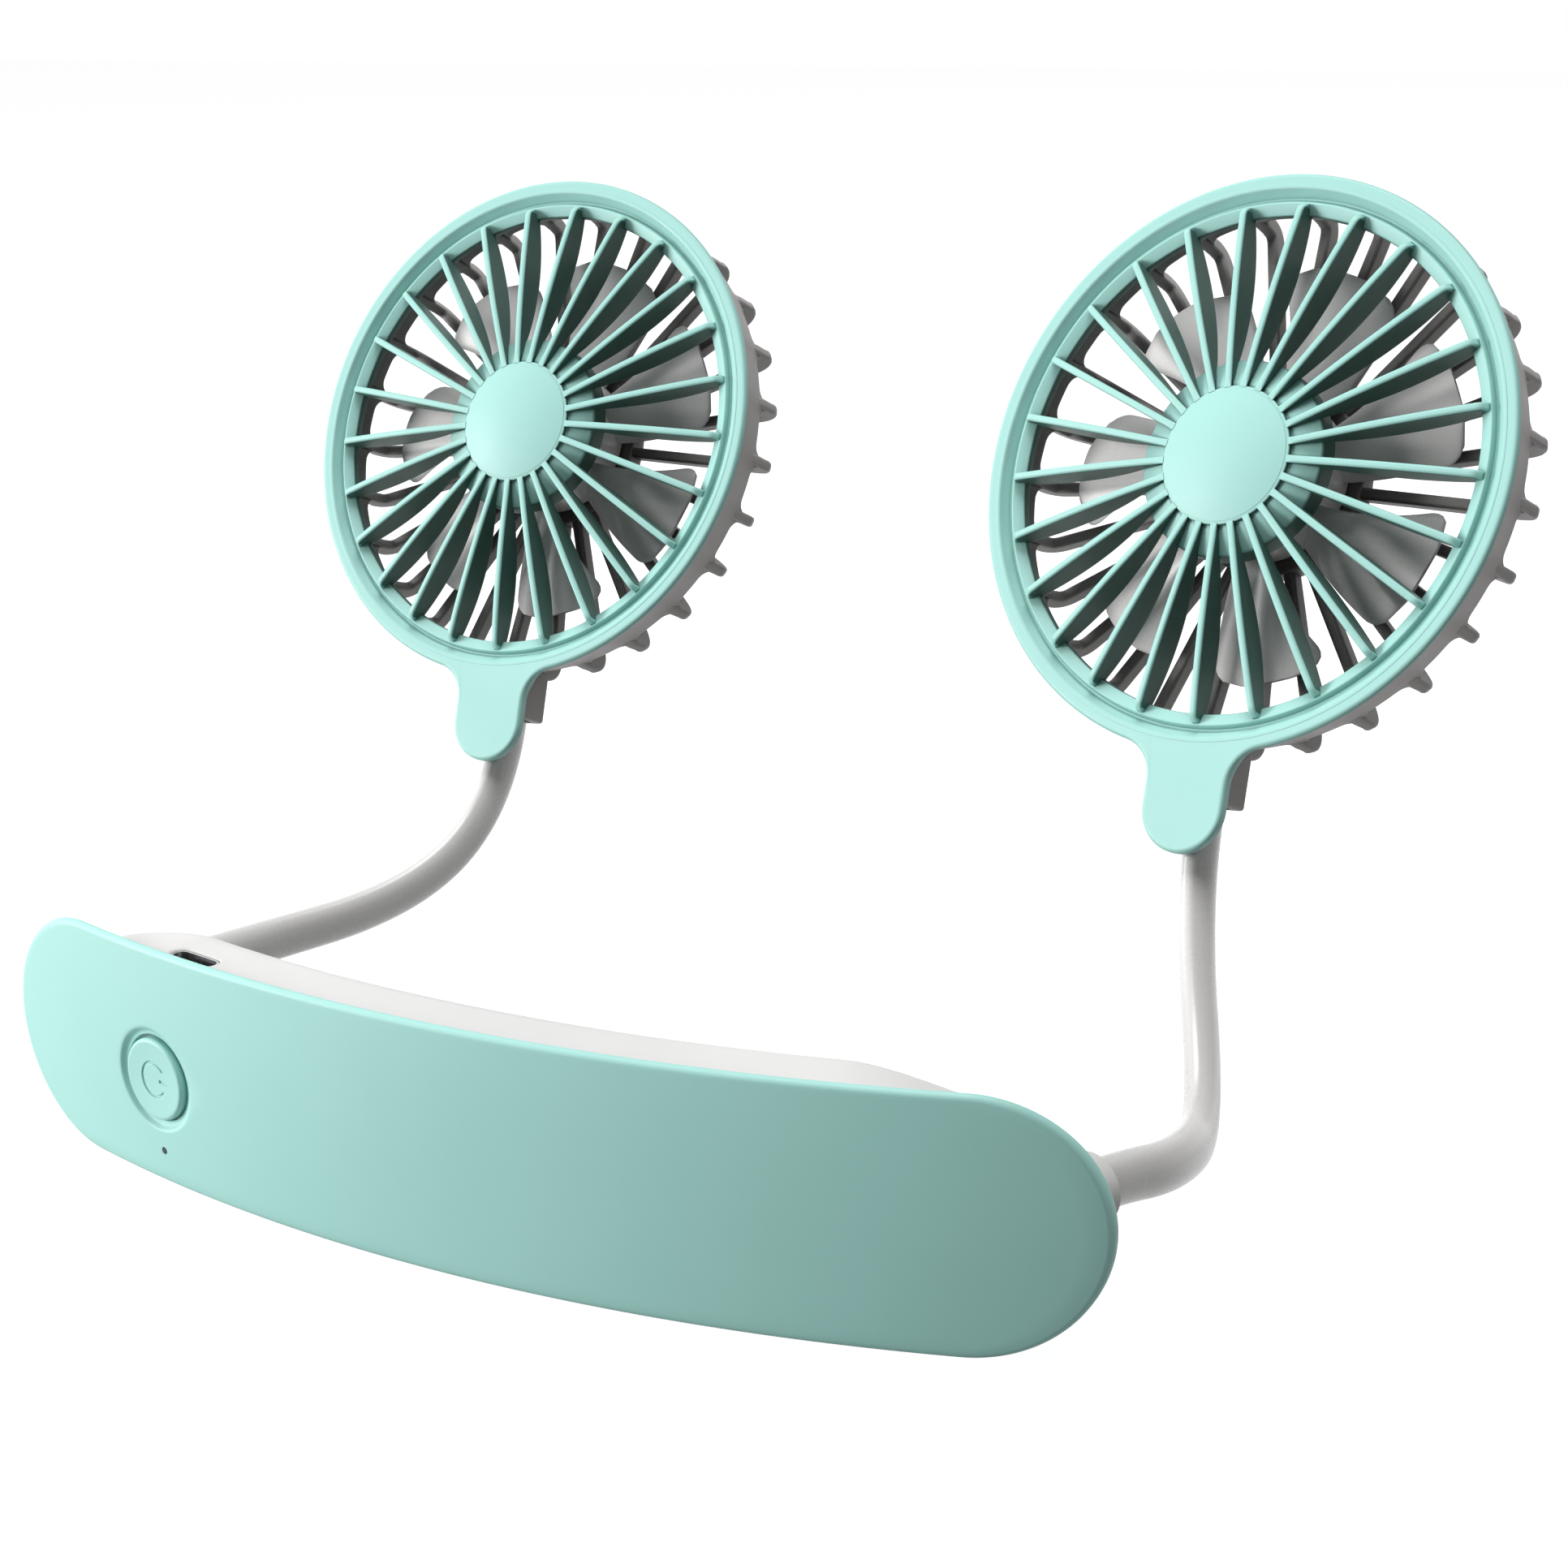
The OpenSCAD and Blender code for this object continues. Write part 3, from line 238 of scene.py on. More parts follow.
mint, paleMint, deepMint = (0.47, 0.86, 0.8), (0.58, 0.95, 0.89), (0.44, 0.82, 0.76)
# In a row, gap, reach, open and shut set the painted shade in crevices, and deep is the painted shade's colour
finishes = {
    "panel_mint": finish(mint, deepMint, paleMint, (0.46, 0.56), grain=2600, bump=0.05, wear=0.12, gap=0.3,
        reach=0.003),
    "button_mint": finish(mint, deepMint, paleMint, (0.42, 0.52), grain=3200, bump=0.04),
    "grille_mint": finish((0.415, 0.76, 0.707), (0.39, 0.72, 0.67), mint, (0.44, 0.54), grain=2600, bump=0.05,
        gap=1.0, deep=(0.045, 0.115, 0.095), reach=0.013, open=0.62, shut=0.3, flanks="paintedFlankShade"),
    "shell_white": finish((0.93, 0.92, 0.915), (0.9, 0.885, 0.875), (0.95, 0.95, 0.95), (0.34, 0.46), grain=2600,
        bump=0.05, gap=0.15),
    "gland_white": finish((0.8, 0.79, 0.78), (0.75, 0.73, 0.71), (0.9, 0.9, 0.9), (0.5, 0.62), grain=2200, bump=0.08),
    "arm_silicone": finish((0.86, 0.85, 0.84), (0.82, 0.8, 0.79), (0.85, 0.85, 0.85), (0.22, 0.32), grain=1500,
        bump=0.05, coat=0.5, dust=0.06, gap=0.6),
    # The white cage's colour is given as a mid grey: painted shade
    "cage_white": finish((0.52, 0.5, 0.495), (0.47, 0.45, 0.445), (0.66, 0.64, 0.63), (0.45, 0.58), grain=2600,
        bump=0.06, gap=0.95, deep=(0.05, 0.046, 0.045), reach=0.016),
    "impeller_white": finish((0.8, 0.78, 0.78), (0.75, 0.73, 0.73), (0.9, 0.9, 0.9), (0.24, 0.34), grain=2600,
        bump=0.04, gap=0.5, deep=(0.12, 0.105, 0.105), open=0.5, shut=0.1),
    "switch_black": finish((0.02, 0.02, 0.022), (0.035, 0.035, 0.035), (0.1, 0.1, 0.1), (0.45, 0.6), grain=3000,
        bump=0.06),
    "light_pipe": finish((0.012, 0.02, 0.06), (0.01, 0.015, 0.04), (0.05, 0.07, 0.15), (0.12, 0.2), grain=3000,
        bump=0.02),
    "board_green": finish((0.02, 0.13, 0.06), (0.015, 0.09, 0.045), (0.4, 0.36, 0.2), (0.3, 0.45), grain=1800,
        bump=0.1),
    "cell_wrap": finish((0.5, 0.51, 0.54), (0.42, 0.43, 0.46), (0.7, 0.7, 0.72), (0.3, 0.45), grain=900, bump=0.12),
    "core_wire": finish((0.5, 0.5, 0.5), (0.4, 0.4, 0.4), (0.7, 0.7, 0.7), (0.3, 0.45), metal=1.0,
        streak=(900, 900, 5000), bump=0.1),
    "socket_metal": finish((0.62, 0.62, 0.64), (0.5, 0.5, 0.52), (0.85, 0.85, 0.86), (0.22, 0.38), metal=1.0,
        streak=(6000, 400, 400), bump=0.08),
    "screw_steel": finish((0.55, 0.55, 0.56), (0.42, 0.42, 0.43), (0.85, 0.85, 0.86), (0.25, 0.42), metal=1.0,
        streak=(500, 7000, 500), bump=0.08),
    "motor_can": finish((0.58, 0.58, 0.59), (0.46, 0.46, 0.47), (0.8, 0.8, 0.8), (0.28, 0.42), metal=1.0,
        streak=(400, 400, 6000), bump=0.08),
    "bearing_brass": finish((0.62, 0.44, 0.2), (0.5, 0.34, 0.15), (0.85, 0.68, 0.4), (0.25, 0.4), metal=1.0,
        streak=(400, 400, 6000), bump=0.08),
    "shaft_steel": finish((0.6, 0.6, 0.61), (0.5, 0.5, 0.51), (0.9, 0.9, 0.9), (0.15, 0.28), metal=1.0,
        streak=(400, 400, 9000), bump=0.05),
}


def placeGroup(tree, key, inputs):
    # A shared group in a material, with the material's own values
    return addNode(tree, "Group", inputs, node_tree=groups[key]).outputs


def makeFinish(name, f):
    # Colour with clouds, paler edges that are partly wear and partly painted highlight, painted shade in gaps and a
    # little dust; metals get streaks in place of a grain
    material = bpy.data.materials.new(name)
    material.use_nodes = True
    tree = material.node_tree
    shader = tree.nodes["Principled BSDF"]
    roughness = {"Rough Low": f["rough"][0], "Rough High": f["rough"][1]}
    base = placeGroup(tree, "moulded", {
        "Color": (*f["color"], 1), "Tint": (*f["tint"], 1), "Tint Amount": texture["tintAmount"],
        "Cloud Scale": f["clouds"], "Grain Scale": f["grain"], **roughness})
    wear = placeGroup(tree, "wear", {"Amount": f["wear"]})["Mask"]
    dust = placeGroup(tree, "dust", {"Amount": f["dust"]})["Mask"]
    # Marked flanks take more painted shade
    flank = addNode(tree, "Attribute", {}, attribute_name=f["flanks"]).outputs["Fac"] if "flanks" in f else 0.0
    # Painted shade: the colour is darkened towards the deep colour in crevices and on marked flanks
    gap = placeGroup(tree, "paintedCreviceShade", {
        "Reach": f["reach"], "Amount": f["gap"], "Open": f["open"], "Shut": f["shut"], "Painted Flank Shade": flank})["Mask"]
    # Edges turn towards the paler edge colour: partly wear, partly painted highlight
    colour = blendColours(tree, wear, base["Color"], (*f["edge"], 1))
    colour = blendColours(tree, gap, colour, (*f.get("deep", [texture["paintedShadeShare"] * c for c in f["color"]]), 1))
    colour = blendColours(tree, dust, colour, texture["dustColor"])
    rough, height = base["Roughness"], base["Height"]
    if "streak" in f:
        brushed = placeGroup(tree, "brushed", {"Streak": f["streak"], **roughness})
        rough, height = brushed["Roughness"], brushed["Fac"]
    rough = addNode(tree, "Math", {0: rough, 1: dust}, operation="ADD", use_clamp=True).outputs[0]
    bump = addNode(tree, "Bump", {"Height": height, "Strength": f["bump"], "Distance": texture["bumpHeight"]})
    tree.links.new(colour, shader.inputs["Base Color"])
    tree.links.new(rough, shader.inputs["Roughness"])
    tree.links.new(bump.outputs[0], shader.inputs["Normal"])
    for label, value in (("Metallic", f["metal"]), ("Specular IOR Level", f["specular"]), ("Coat Weight", f["coat"]),
                         ("Coat Roughness", texture["coatRough"])):
        shader.inputs[label].default_value = value
    return material


materials = {name: makeFinish(name, values) for name, values in finishes.items()}
print("finishes made")


# Shapes worked out on grids of points, in millimetres


def stacked(*parts):
    # Coordinates side by side as points; each is an array, or one number for all of them
    return np.stack(np.broadcast_arrays(*parts), -1)


def unit(rows):
    # Each row made one long
    return rows / np.linalg.norm(rows, axis=1, keepdims=True)


def lengthAlong(points):
    # Length of a line of points from its start to each of them
    return np.concatenate([[0], np.cumsum(np.linalg.norm(np.diff(points, axis=0), axis=1))])


def gridFaces(rows, cols, wrapRows=False):
    # Quads between neighbouring points of a grid whose columns close on themselves
    r = np.arange(rows if wrapRows else rows - 1)[:, None]
    c = np.arange(cols)[None, :]
    n, m = (r + 1) % rows, (c + 1) % cols
    return stacked(r * cols + c, r * cols + m, n * cols + m, n * cols + c).reshape(-1, 4).tolist()


def closedLoft(loops):
    # Loops of points joined one after the other, with a flat cap on the first and last
    rows, cols = loops.shape[:2]
    faces = gridFaces(rows, cols)
    faces.append(list(range(cols)))
    faces.append(list(range(rows * cols - 1, (rows - 1) * cols - 1, -1)))
    return loops.reshape(-1, 3), faces


def closedRing(loops):
    # Loops of points joined one after the other, the last to the first
    rows, cols = loops.shape[:2]
    return loops.reshape(-1, 3), gridFaces(rows, cols, wrapRows=True)


def poleLoft(loops):
    # Loops of points from one middle point outward and back to another middle point
    rows, cols = loops.shape[:2]
    points = np.vstack([loops.reshape(-1, 3), loops[0].mean(0), loops[-1].mean(0)])
    faces = gridFaces(rows, cols)
    last = (rows - 1) * cols
    faces += [[rows * cols, (k + 1) % cols, k] for k in range(cols)]
    faces += [[rows * cols + 1, last + k, last + (k + 1) % cols] for k in range(cols)]
    return points, faces


def parabola(a, b, c, t):
    # From a to c, leaving and arriving along the lines to b: (1 - t)^2 a + 2 t (1 - t) b + t^2 c
    return (1 - t) ** 2 * a + 2 * t * (1 - t) * b + t ** 2 * c


def roundCorners(corners, steps=5):
    # Each corner, two coordinates and a distance, becomes a curve that leaves its two sides at that distance
    points, cuts = np.split(np.array(corners, float), [2], axis=1)
    ends = []
    for step in (1, -1):
        way = np.roll(points, step, 0) - points
        long = np.linalg.norm(way, axis=1, keepdims=True)
        ends.append((points + way / long * np.minimum(cuts, 0.49 * long))[:, None])
    t = np.linspace(0, 1, steps)[None, :, None]
    return parabola(ends[0], points[:, None], ends[1], t).reshape(-1, 2)


def softEdge(size):
    # The points of a small rounded edge, as a distance in from one side and back from the other
    return [(0, size), (0.3 * size, 0.3 * size), (size, 0)]


def fullTurn(steps):
    # Even angles once round, without the last, which is the first again
    return np.linspace(0, 2 * math.pi, steps, endpoint=False)


def roundAxis(r, turn, z):
    # Points at a radius, an angle and a height about the third axis
    return stacked(r * np.cos(turn), r * np.sin(turn), z)


def revolved(profile, steps, join=closedRing):
    # An outline of radius and height, carried round the third axis
    r, z = np.array(profile).T[:, :, None]
    return join(roundAxis(r, fullTurn(steps)[None, :], z))


def outwardOf(outline):
    # Unit normals of a closed outline that runs anticlockwise, from each point's two neighbours
    way = unit(np.roll(outline, -1, 0) - np.roll(outline, 1, 0))
    return stacked(way[:, 1], -way[:, 0])


def roundedBar(width, height, corner, steps=4, hold=0.12):
    # Rectangle with rounded corners, and a point close to each corner that keeps the sides flat
    w, h, c = width / 2, height / 2, min(corner, width / 2 - 0.01, height / 2 - 0.01)
    turn = np.linspace(0, math.pi / 2, steps)
    arc = stacked(np.cos(turn), np.sin(turn)) * c
    quarters = []
    for k, (x, y) in enumerate([(1, 1), (-1, 1), (-1, -1), (1, -1)]):
        a = k * math.pi / 2
        spin = np.array([[math.cos(a), math.sin(a)], [-math.sin(a), math.cos(a)]])
        bend = arc @ spin + [x * (w - c), y * (h - c)]
        start = bend[0] - hold * np.array([-math.sin(a), math.cos(a)])
        end = bend[-1] + hold * np.array([-math.cos(a), -math.sin(a)])
        quarters.append(np.vstack([start, bend, end]))
    return np.vstack(quarters)


def onAxes(part, axes, middle=(0, 0, 0)):
    # The part's own three coordinates laid along three axes from a middle point
    points, faces = part
    return points @ np.array(axes, float) + np.array(middle, float), faces


def turnedRows(a):
    # The three axes as rows, turned by an angle about the third
    return np.array([[math.cos(a), math.sin(a), 0], [-math.sin(a), math.cos(a), 0], [0, 0, 1]])


def aroundAxis(part, first, count):
    # Copies of a part at even turns about the third axis
    return [onAxes(part, turnedRows(math.radians(first + 360 * k / count))) for k in range(count)]


def smoothStep(value):
    # 3 v^2 - 2 v^3 between 0 and 1, level at both ends
    v = np.clip(value, 0, 1)
    return v * v * (3 - 2 * v)


def tidyMesh(mesh):
    # Doubled points are merged and the faces turned outward
    work = bmesh.new()
    work.from_mesh(mesh)
    bmesh.ops.remove_doubles(work, verts=work.verts, dist=2e-7)
    bmesh.ops.dissolve_degenerate(work, edges=work.edges, dist=1e-8)
    bmesh.ops.recalc_face_normals(work, faces=work.faces)
    work.to_mesh(mesh)
    work.free()


def meshOf(name, parts, sharp=38):
    # Parts in millimetres become one mesh in metres
    points, faces, start = [], [], 0
    for partPoints, partFaces in parts:
        points.append(partPoints)
        faces += [[v + start for v in face] for face in partFaces]
        start += len(partPoints)
    mesh = bpy.data.meshes.new(name)
    mesh.from_pydata((np.vstack(points) * mm).tolist(), [], faces)
    tidyMesh(mesh)
    mesh.shade_smooth()
    mesh.set_sharp_from_angle(angle=math.radians(sharp))
    return addObject(name, mesh)


def place(piece, body, nodes, slotName):
    # The piece stands for its nodes, moves with its body, and takes the finish that its slot names
    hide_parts(*nodes)
    piece.data.materials.clear()
    piece.data.materials.append(materials[slotName])
    if body:
        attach(piece, body)
    return piece


def carve(piece, cutter, sharp=38):
    # The cutter is taken out of the piece, and the result becomes the piece's own mesh
    cut = piece.modifiers.new("carve", "BOOLEAN")
    cut.operation, cut.solver, cut.object = "DIFFERENCE", "EXACT", cutter
    bpy.context.view_layer.update()
    graph = bpy.context.evaluated_depsgraph_get()
    mesh = bpy.data.meshes.new_from_object(piece.evaluated_get(graph))
    piece.modifiers.clear()
    piece.data = mesh
    mesh.shade_smooth()
    mesh.set_sharp_from_angle(angle=math.radians(sharp))
    bpy.data.objects.remove(cutter)


# Band

band = {
    "radius": 248.4, "arcY": 234.9, "half": 18.1, "tipX": 88.05, "wall": 1.8, "edge": 0.75, "crown": 0.78,
    "backEdge": 0.25, "outlineSteps": 520, "faceSteps": 46, "edgeSteps": 6, "backSteps": 24,
    "buttonAt": -54.4, "buttonDrop": 1.7, "hole": 6.6, "recessFlat": 6.75, "recess": 6.95, "lip": 8.1,
    "recessDepth": 0.75, "recessRise": 0.02, "recessSteps": 8, "holeCorner": ((0, 0.14), (0.05, 0.04), (0.16, 0)),
    "lightAt": -53.9, "lightDrop": 12.8, "lightHole": 0.55, "lightEdge": 0.14, "lightBack": 3.0,
    "axis": 0.001,
}


def stationOf(s):
    # Angle along the band for a distance along its outer face
    return s / band["radius"]


def bandPoint(x, z, depth):
    # Point behind the outer face at a place x and height z: the face is a cylinder about a line along Z
    r = band["radius"] - depth
    return stacked(x, band["arcY"] - np.sqrt(r * r - x * x), z)


def stationAxes(s):
    # Rows are along the band, into the band and up, with the point of the outer face
    a = stationOf(s)
    return turnedRows(a), np.array([band["radius"] * math.sin(a), band["arcY"] - band["radius"] * math.cos(a), 0])


def intoBand(profile, rows, middle, steps):
    # An outline of radius and depth, carried round a line that runs into the band
    return onAxes(revolved(profile, steps), [rows[0], -rows[2], rows[1]], middle)


def stadiumOutline(b):
    # Evenly spaced points round a rectangle with half round ends, in the plane of x and z
    flat = b["tipX"] - b["half"]
    round_ = math.pi * b["half"]
    total = 4 * flat + 2 * round_
    s = np.linspace(0, total, b["outlineSteps"], endpoint=False)
    a = (s - 2 * flat) / b["half"] - math.pi / 2
    c = (s - 4 * flat - round_) / b["half"] + math.pi / 2
    low = stacked(s - flat, -b["half"])
    right = stacked(flat + b["half"] * np.cos(a), b["half"] * np.sin(a))
    high = stacked(3 * flat + round_ - s, b["half"])
    left = stacked(b["half"] * np.cos(c) - flat, b["half"] * np.sin(c))
    part = np.digitize(s, [2 * flat, 2 * flat + round_, 4 * flat + round_])
    return np.choose(part[:, None], [low, right, high, left])


def crownShift(points, b):
    # The face bows, so that it lies deeper by the square of the share of the way to its long edges
    return stacked(0, b["crown"] * (points[:, 2] / b["half"]) ** 2, 0)


def panelPart(b):
    # Loops run from the button's hole over the soft recess, whose depth falls by a smooth step, to the outline,
    # round its edge by the sine and cosine of a quarter turn, and back behind. Between the recess and the
    # outline a point slides along the straight line that joins their two points
    rim = stadiumOutline(b)
    foot = stationAxes(b["buttonAt"])[1]
    centre = np.array([foot[0], -b["buttonDrop"]])
    way = unit(rim - centre)
    squash = np.array([math.cos(stationOf(b["buttonAt"])), 1])
    normal = outwardOf(rim)
    deep = b["recessDepth"]
    recess = [(b["hole"], b["wall"]), *[(b["hole"] + r, deep + d) for r, d in b["holeCorner"]],
              (b["recessFlat"], deep)]
    recess += [(b["recess"] + (b["lip"] - b["recess"]) * v, (deep - b["recessRise"]) * (1 - smoothStep(v)))
               for v in np.linspace(0, 1, b["recessSteps"])]
    loops = [bandPoint(*(centre + r * squash * way).T, d) for r, d in recess]
    start = centre + b["lip"] * squash * way
    inner = rim - b["edge"] * normal
    for t in np.linspace(0, 1, b["faceSteps"])[1:]:
        loops.append(bandPoint(*(start + (inner - start) * t).T, 0))
    for v in np.linspace(0, math.pi / 2, b["edgeSteps"])[1:]:
        edge = rim - b["edge"] * (1 - math.sin(v)) * normal
        loops.append(bandPoint(*edge.T, b["edge"] * (1 - math.cos(v))))
    loops[1:] = [p + crownShift(p, b) for p in loops[1:]]
    for inset, up in softEdge(b["backEdge"]):
        loops.append(bandPoint(*(rim - inset * normal).T, b["wall"] - up))
    behind = rim - b["backEdge"] * normal
    hole = centre + b["hole"] * squash * way
    for t in np.linspace(0, 1, b["backSteps"])[1:-1]:
        loops.append(bandPoint(*(behind + (hole - behind) * t).T, b["wall"]))
    return closedRing(np.array(loops))


screws = {
    "at": 35.0, "up": 10.5, "steps": 40, "bossRadius": 2.3, "bossFront": 1.5, "bossBack": 9.2, "bossEdge": 0.2,
    "bossHole": 0.95, "well": 2.0, "wellSunk": 1.9, "wellEdge": 0.25, "wellGrow": 0.5, "wellPast": 2.0,
}


def atScrews(profile):
    # An outline of radius and depth, carried round each of the four screws
    spots = [(*stationAxes(x), z) for x in (-screws["at"], screws["at"]) for z in (-screws["up"], screws["up"])]
    return [intoBand(profile, rows, foot + [0, 0, z], screws["steps"]) for rows, foot, z in spots]


def bossProfile(b):
    # Tube behind the panel that takes a screw
    return [(b["bossRadius"], b["bossFront"]), (b["bossRadius"], b["bossBack"] - b["bossEdge"]),
            (b["bossRadius"] - b["bossEdge"], b["bossBack"]), (b["bossHole"], b["bossBack"]),
            (b["bossHole"], b["bossFront"])]


def lightProfile(b):
    # Outline of the light's hole, with a small cone where it leaves the face
    wide = b["lightHole"] + b["lightEdge"]
    return [(b["axis"], -1), (wide, -1), (wide, 0), (b["lightHole"], b["lightEdge"]),
            (b["lightHole"], b["lightBack"]), (b["axis"], b["lightBack"])]


frontPanel = meshOf("frontPanel", [panelPart(band), *atScrews(bossProfile(screws))])
rows, foot = stationAxes(band["lightAt"])
carve(frontPanel, meshOf("cutter", [intoBand(lightProfile(band), rows, foot - [0, 0, band["lightDrop"]], 32)]))
place(frontPanel, "neck_band", ["front_panel"], "panel_mint")


button = {
    "radius": 6.2, "proud": 0.12, "edge": 0.55, "edgeSteps": 7, "dish": 0.16, "back": 2.2, "steps": 360,
    "rings": ((0.4, 1.0, 4), (1.0, 3.2, 56)), "outerRings": 14, "middle": 0.4,
    "flange": 7.3, "flangeBack": 2.9, "stem": 1.6, "stemBack": 3.9,
    "iconRadius": 2.6, "iconLine": 0.5, "iconDepth": 0.2, "iconGap": 38.0, "iconSoft": 0.09,
    "barStart": 1.1, "barPast": 0.35,
}


def iconMask(r, turn, b):
    # 1 inside an open ring whose gap faces the right, and inside a short bar through that gap
    half, soft = b["iconLine"] / 2, b["iconSoft"]
    ring = smoothStep((half + soft / 2 - abs(r - b["iconRadius"])) / soft)
    away = abs((turn + math.pi) % (2 * math.pi) - math.pi)
    gap = math.radians(b["iconGap"])
    ring = ring * smoothStep((away - gap) * b["iconRadius"] / soft + 0.5)
    x, z = r * np.cos(turn), r * np.sin(turn)
    long = smoothStep((x - b["barStart"]) / soft) * smoothStep((b["iconRadius"] + b["barPast"] - x) / soft)
    return np.maximum(ring, long * smoothStep((half + soft / 2 - abs(z)) / soft))


def buttonPart(b):
    # Rings of a cap whose face is dished by the square of the radius and cut back where the icon is, round its
    # edge by the sine and cosine of a quarter turn, and over the flange and stem behind
    turn = fullTurn(b["steps"])[None, :]
    flat = b["radius"] - b["edge"]
    spans = [*b["rings"], (b["rings"][-1][1], flat, b["outerRings"])]
    face = np.concatenate([[b["middle"]], *[np.linspace(*span)[1:] for span in spans]])[:, None] + 0 * turn
    hollow = b["dish"] * (1 - (face / flat) ** 2) + b["iconDepth"] * iconMask(face, turn, b)
    a = np.linspace(0, math.pi / 2, b["edgeSteps"])[1:]
    back = [(b["radius"], b["back"]), (b["flange"], b["back"]), (b["flange"], b["flangeBack"]),
            (b["stem"], b["flangeBack"]), (b["stem"], b["stemBack"]), (b["middle"], b["stemBack"])]
    rest = np.vstack([stacked(flat + b["edge"] * np.sin(a), b["edge"] * (1 - np.cos(a)) - b["proud"]), back])
    r = np.vstack([face, rest[:, :1] + 0 * turn])
    d = np.vstack([hollow - b["proud"], rest[:, 1:] + 0 * turn])
    return poleLoft(stacked(r * np.cos(turn), d, r * np.sin(turn)))


rows, foot = stationAxes(band["buttonAt"])
powerButton = meshOf("powerButton", [onAxes(buttonPart(button), rows, foot - [0, 0, band["buttonDrop"]])])
place(powerButton, "power_button", ["power_button"], "button_mint")
print("panel and button made")


# Rear shell, screwed to the panel from behind

shell = {
    "half": 17.1, "depth": 13.5, "front": 1.8, "rounding": 3.2, "noseStart": 54.0, "noseMiddle": 70.0,
    "noseTip": 88.4, "noseCurve": 1.6, "noseDrop": 1.5, "edge": 0.3, "along": 150, "crowd": 1.35, "last": 0.998,
    "backHold": 0.3, "frontHold": 0.4,
    "slotAt": -48.6, "slotDepth": 4.5, "slotWidth": 9.1, "slotHeight": 3.4, "slotChamfer": 0.25, "slotDown": 7.2,
    "slotAbove": 2.0, "slotSpread": 1.2,
}
arms = {
    "left": {"mouth": (-79.4565, 13.5277, 0), "turn": 10.0},
    "right": {"mouth": (79.4565, 13.5277, 0), "turn": 22.0},
}
gland = {
    "radius": 4.8, "inner": 2.2, "back": -3.6, "out": 2.6, "edge": 0.45,
    "mouthRadius": 6.4, "mouthBack": -7.2, "mouthFront": -1.2, "mouthFlat": 5.0, "mouthHole": 0.6,
}


def shellPart(b):
    # Sections across the band, each a rectangle with rounded back corners; towards the tips its half
    # height falls as the root of one less a power of the way, and its back comes forward by a smooth step
    grow = np.linspace(-1, 1, b["along"])
    s = np.sign(grow) * b["noseTip"] * (1 - (1 - abs(grow)) ** b["crowd"]) * b["last"]
    share = np.clip((abs(s) - b["noseStart"]) / (b["noseTip"] - b["noseStart"]), 0, 0.9999)
    half = b["half"] * np.sqrt(1 - share ** b["noseCurve"])
    back = b["depth"] - b["noseDrop"] * smoothStep((abs(s) - b["noseStart"]) / (b["noseMiddle"] - b["noseStart"]))
    r = np.minimum(b["rounding"], half / 2)
    e = np.minimum(b["edge"], half / 4)
    low = [(e * (1 - math.sin(v)), b["front"] + e * (1 - math.cos(v))) for v in np.linspace(0, math.pi / 2, 4)]
    low += [(0, b["front"] + e + b["frontHold"]), (0, back - r - b["backHold"])]
    low += [(r * (1 - math.cos(v)), back - r + r * math.sin(v)) for v in np.linspace(0, math.pi / 2, 9)]
    columns = [(inset - half, d) for inset, d in low]
    columns += [(k * (half - r), back) for k in np.linspace(-1, 1, 9)[1:-1]]
    columns += [(half - inset, d) for inset, d in low[::-1]]
    z, d = (np.array([np.broadcast_to(c[k], s.shape) for c in columns]).T for k in (0, 1))
    radius = band["radius"] - d
    a = (s / band["radius"])[:, None]
    return closedLoft(stacked(radius * np.sin(a), band["arcY"] - radius * np.cos(a), z))


def exitRevolved(profile, arm, steps=56):
    # An outline of radius and way out, carried round the way out of the shell
    across, out, up = turnedRows(-math.radians(arm["turn"]))
    return onAxes(revolved(profile, steps), [across, -up, out], arm["mouth"])


def mouthProfile(g):
    # Round swelling of the shell that a gland stands in
    return roundCorners([(g["mouthHole"], g["mouthBack"], 0.1), (g["mouthRadius"], g["mouthBack"], 0.3),
                         (g["mouthRadius"], g["mouthFront"], 0.5), (g["mouthFlat"], g["mouthFront"], 0.1),
                         (g["mouthHole"], g["mouthFront"], 0.1)])


def glandProfile(g):
    # Collar with a rounded outer end
    return roundCorners([(g["inner"], g["back"], 0.1), (g["radius"], g["back"], 0.1),
                         (g["radius"], g["out"], g["edge"]), (g["inner"], g["out"], 0.1)], 6)


def stadiumLoop(width, thickness, steps=20):
    # Rectangle with half round ends, its long side along the first axis
    a = np.linspace(-math.pi / 2, math.pi / 2, steps)
    flat = (width - thickness) / 2
    right = stacked(flat + thickness / 2 * np.cos(a), thickness / 2 * np.sin(a))
    return np.vstack([right, -right])


def slotCutter(b):
    # A stadium carried down from above the shell's top, wider where it leaves the top
    loops = []
    for grow, z in [(b["slotSpread"], b["slotAbove"]), (b["slotChamfer"], 0), (0, -b["slotChamfer"]),
                    (0, -b["slotDown"])]:
        flat = stadiumLoop(b["slotWidth"] + 2 * grow, b["slotHeight"] + 2 * grow)
        loops.append(stacked(flat[:, 0], b["slotDepth"] + flat[:, 1], b["half"] + z))
    rows, foot = stationAxes(b["slotAt"])
    return onAxes(closedLoft(np.array(loops)), rows, foot)


def wellProfile(b, depth):
    # Outline of a screw's well in the shell's back, wider where it leaves the back
    wide = b["well"] + b["wellGrow"]
    return [(band["axis"], depth - b["wellSunk"]), (b["well"], depth - b["wellSunk"]),
            (b["well"], depth - b["wellEdge"]), (wide, depth + b["wellEdge"]),
            (wide, depth + b["wellPast"]), (band["axis"], depth + b["wellPast"])]


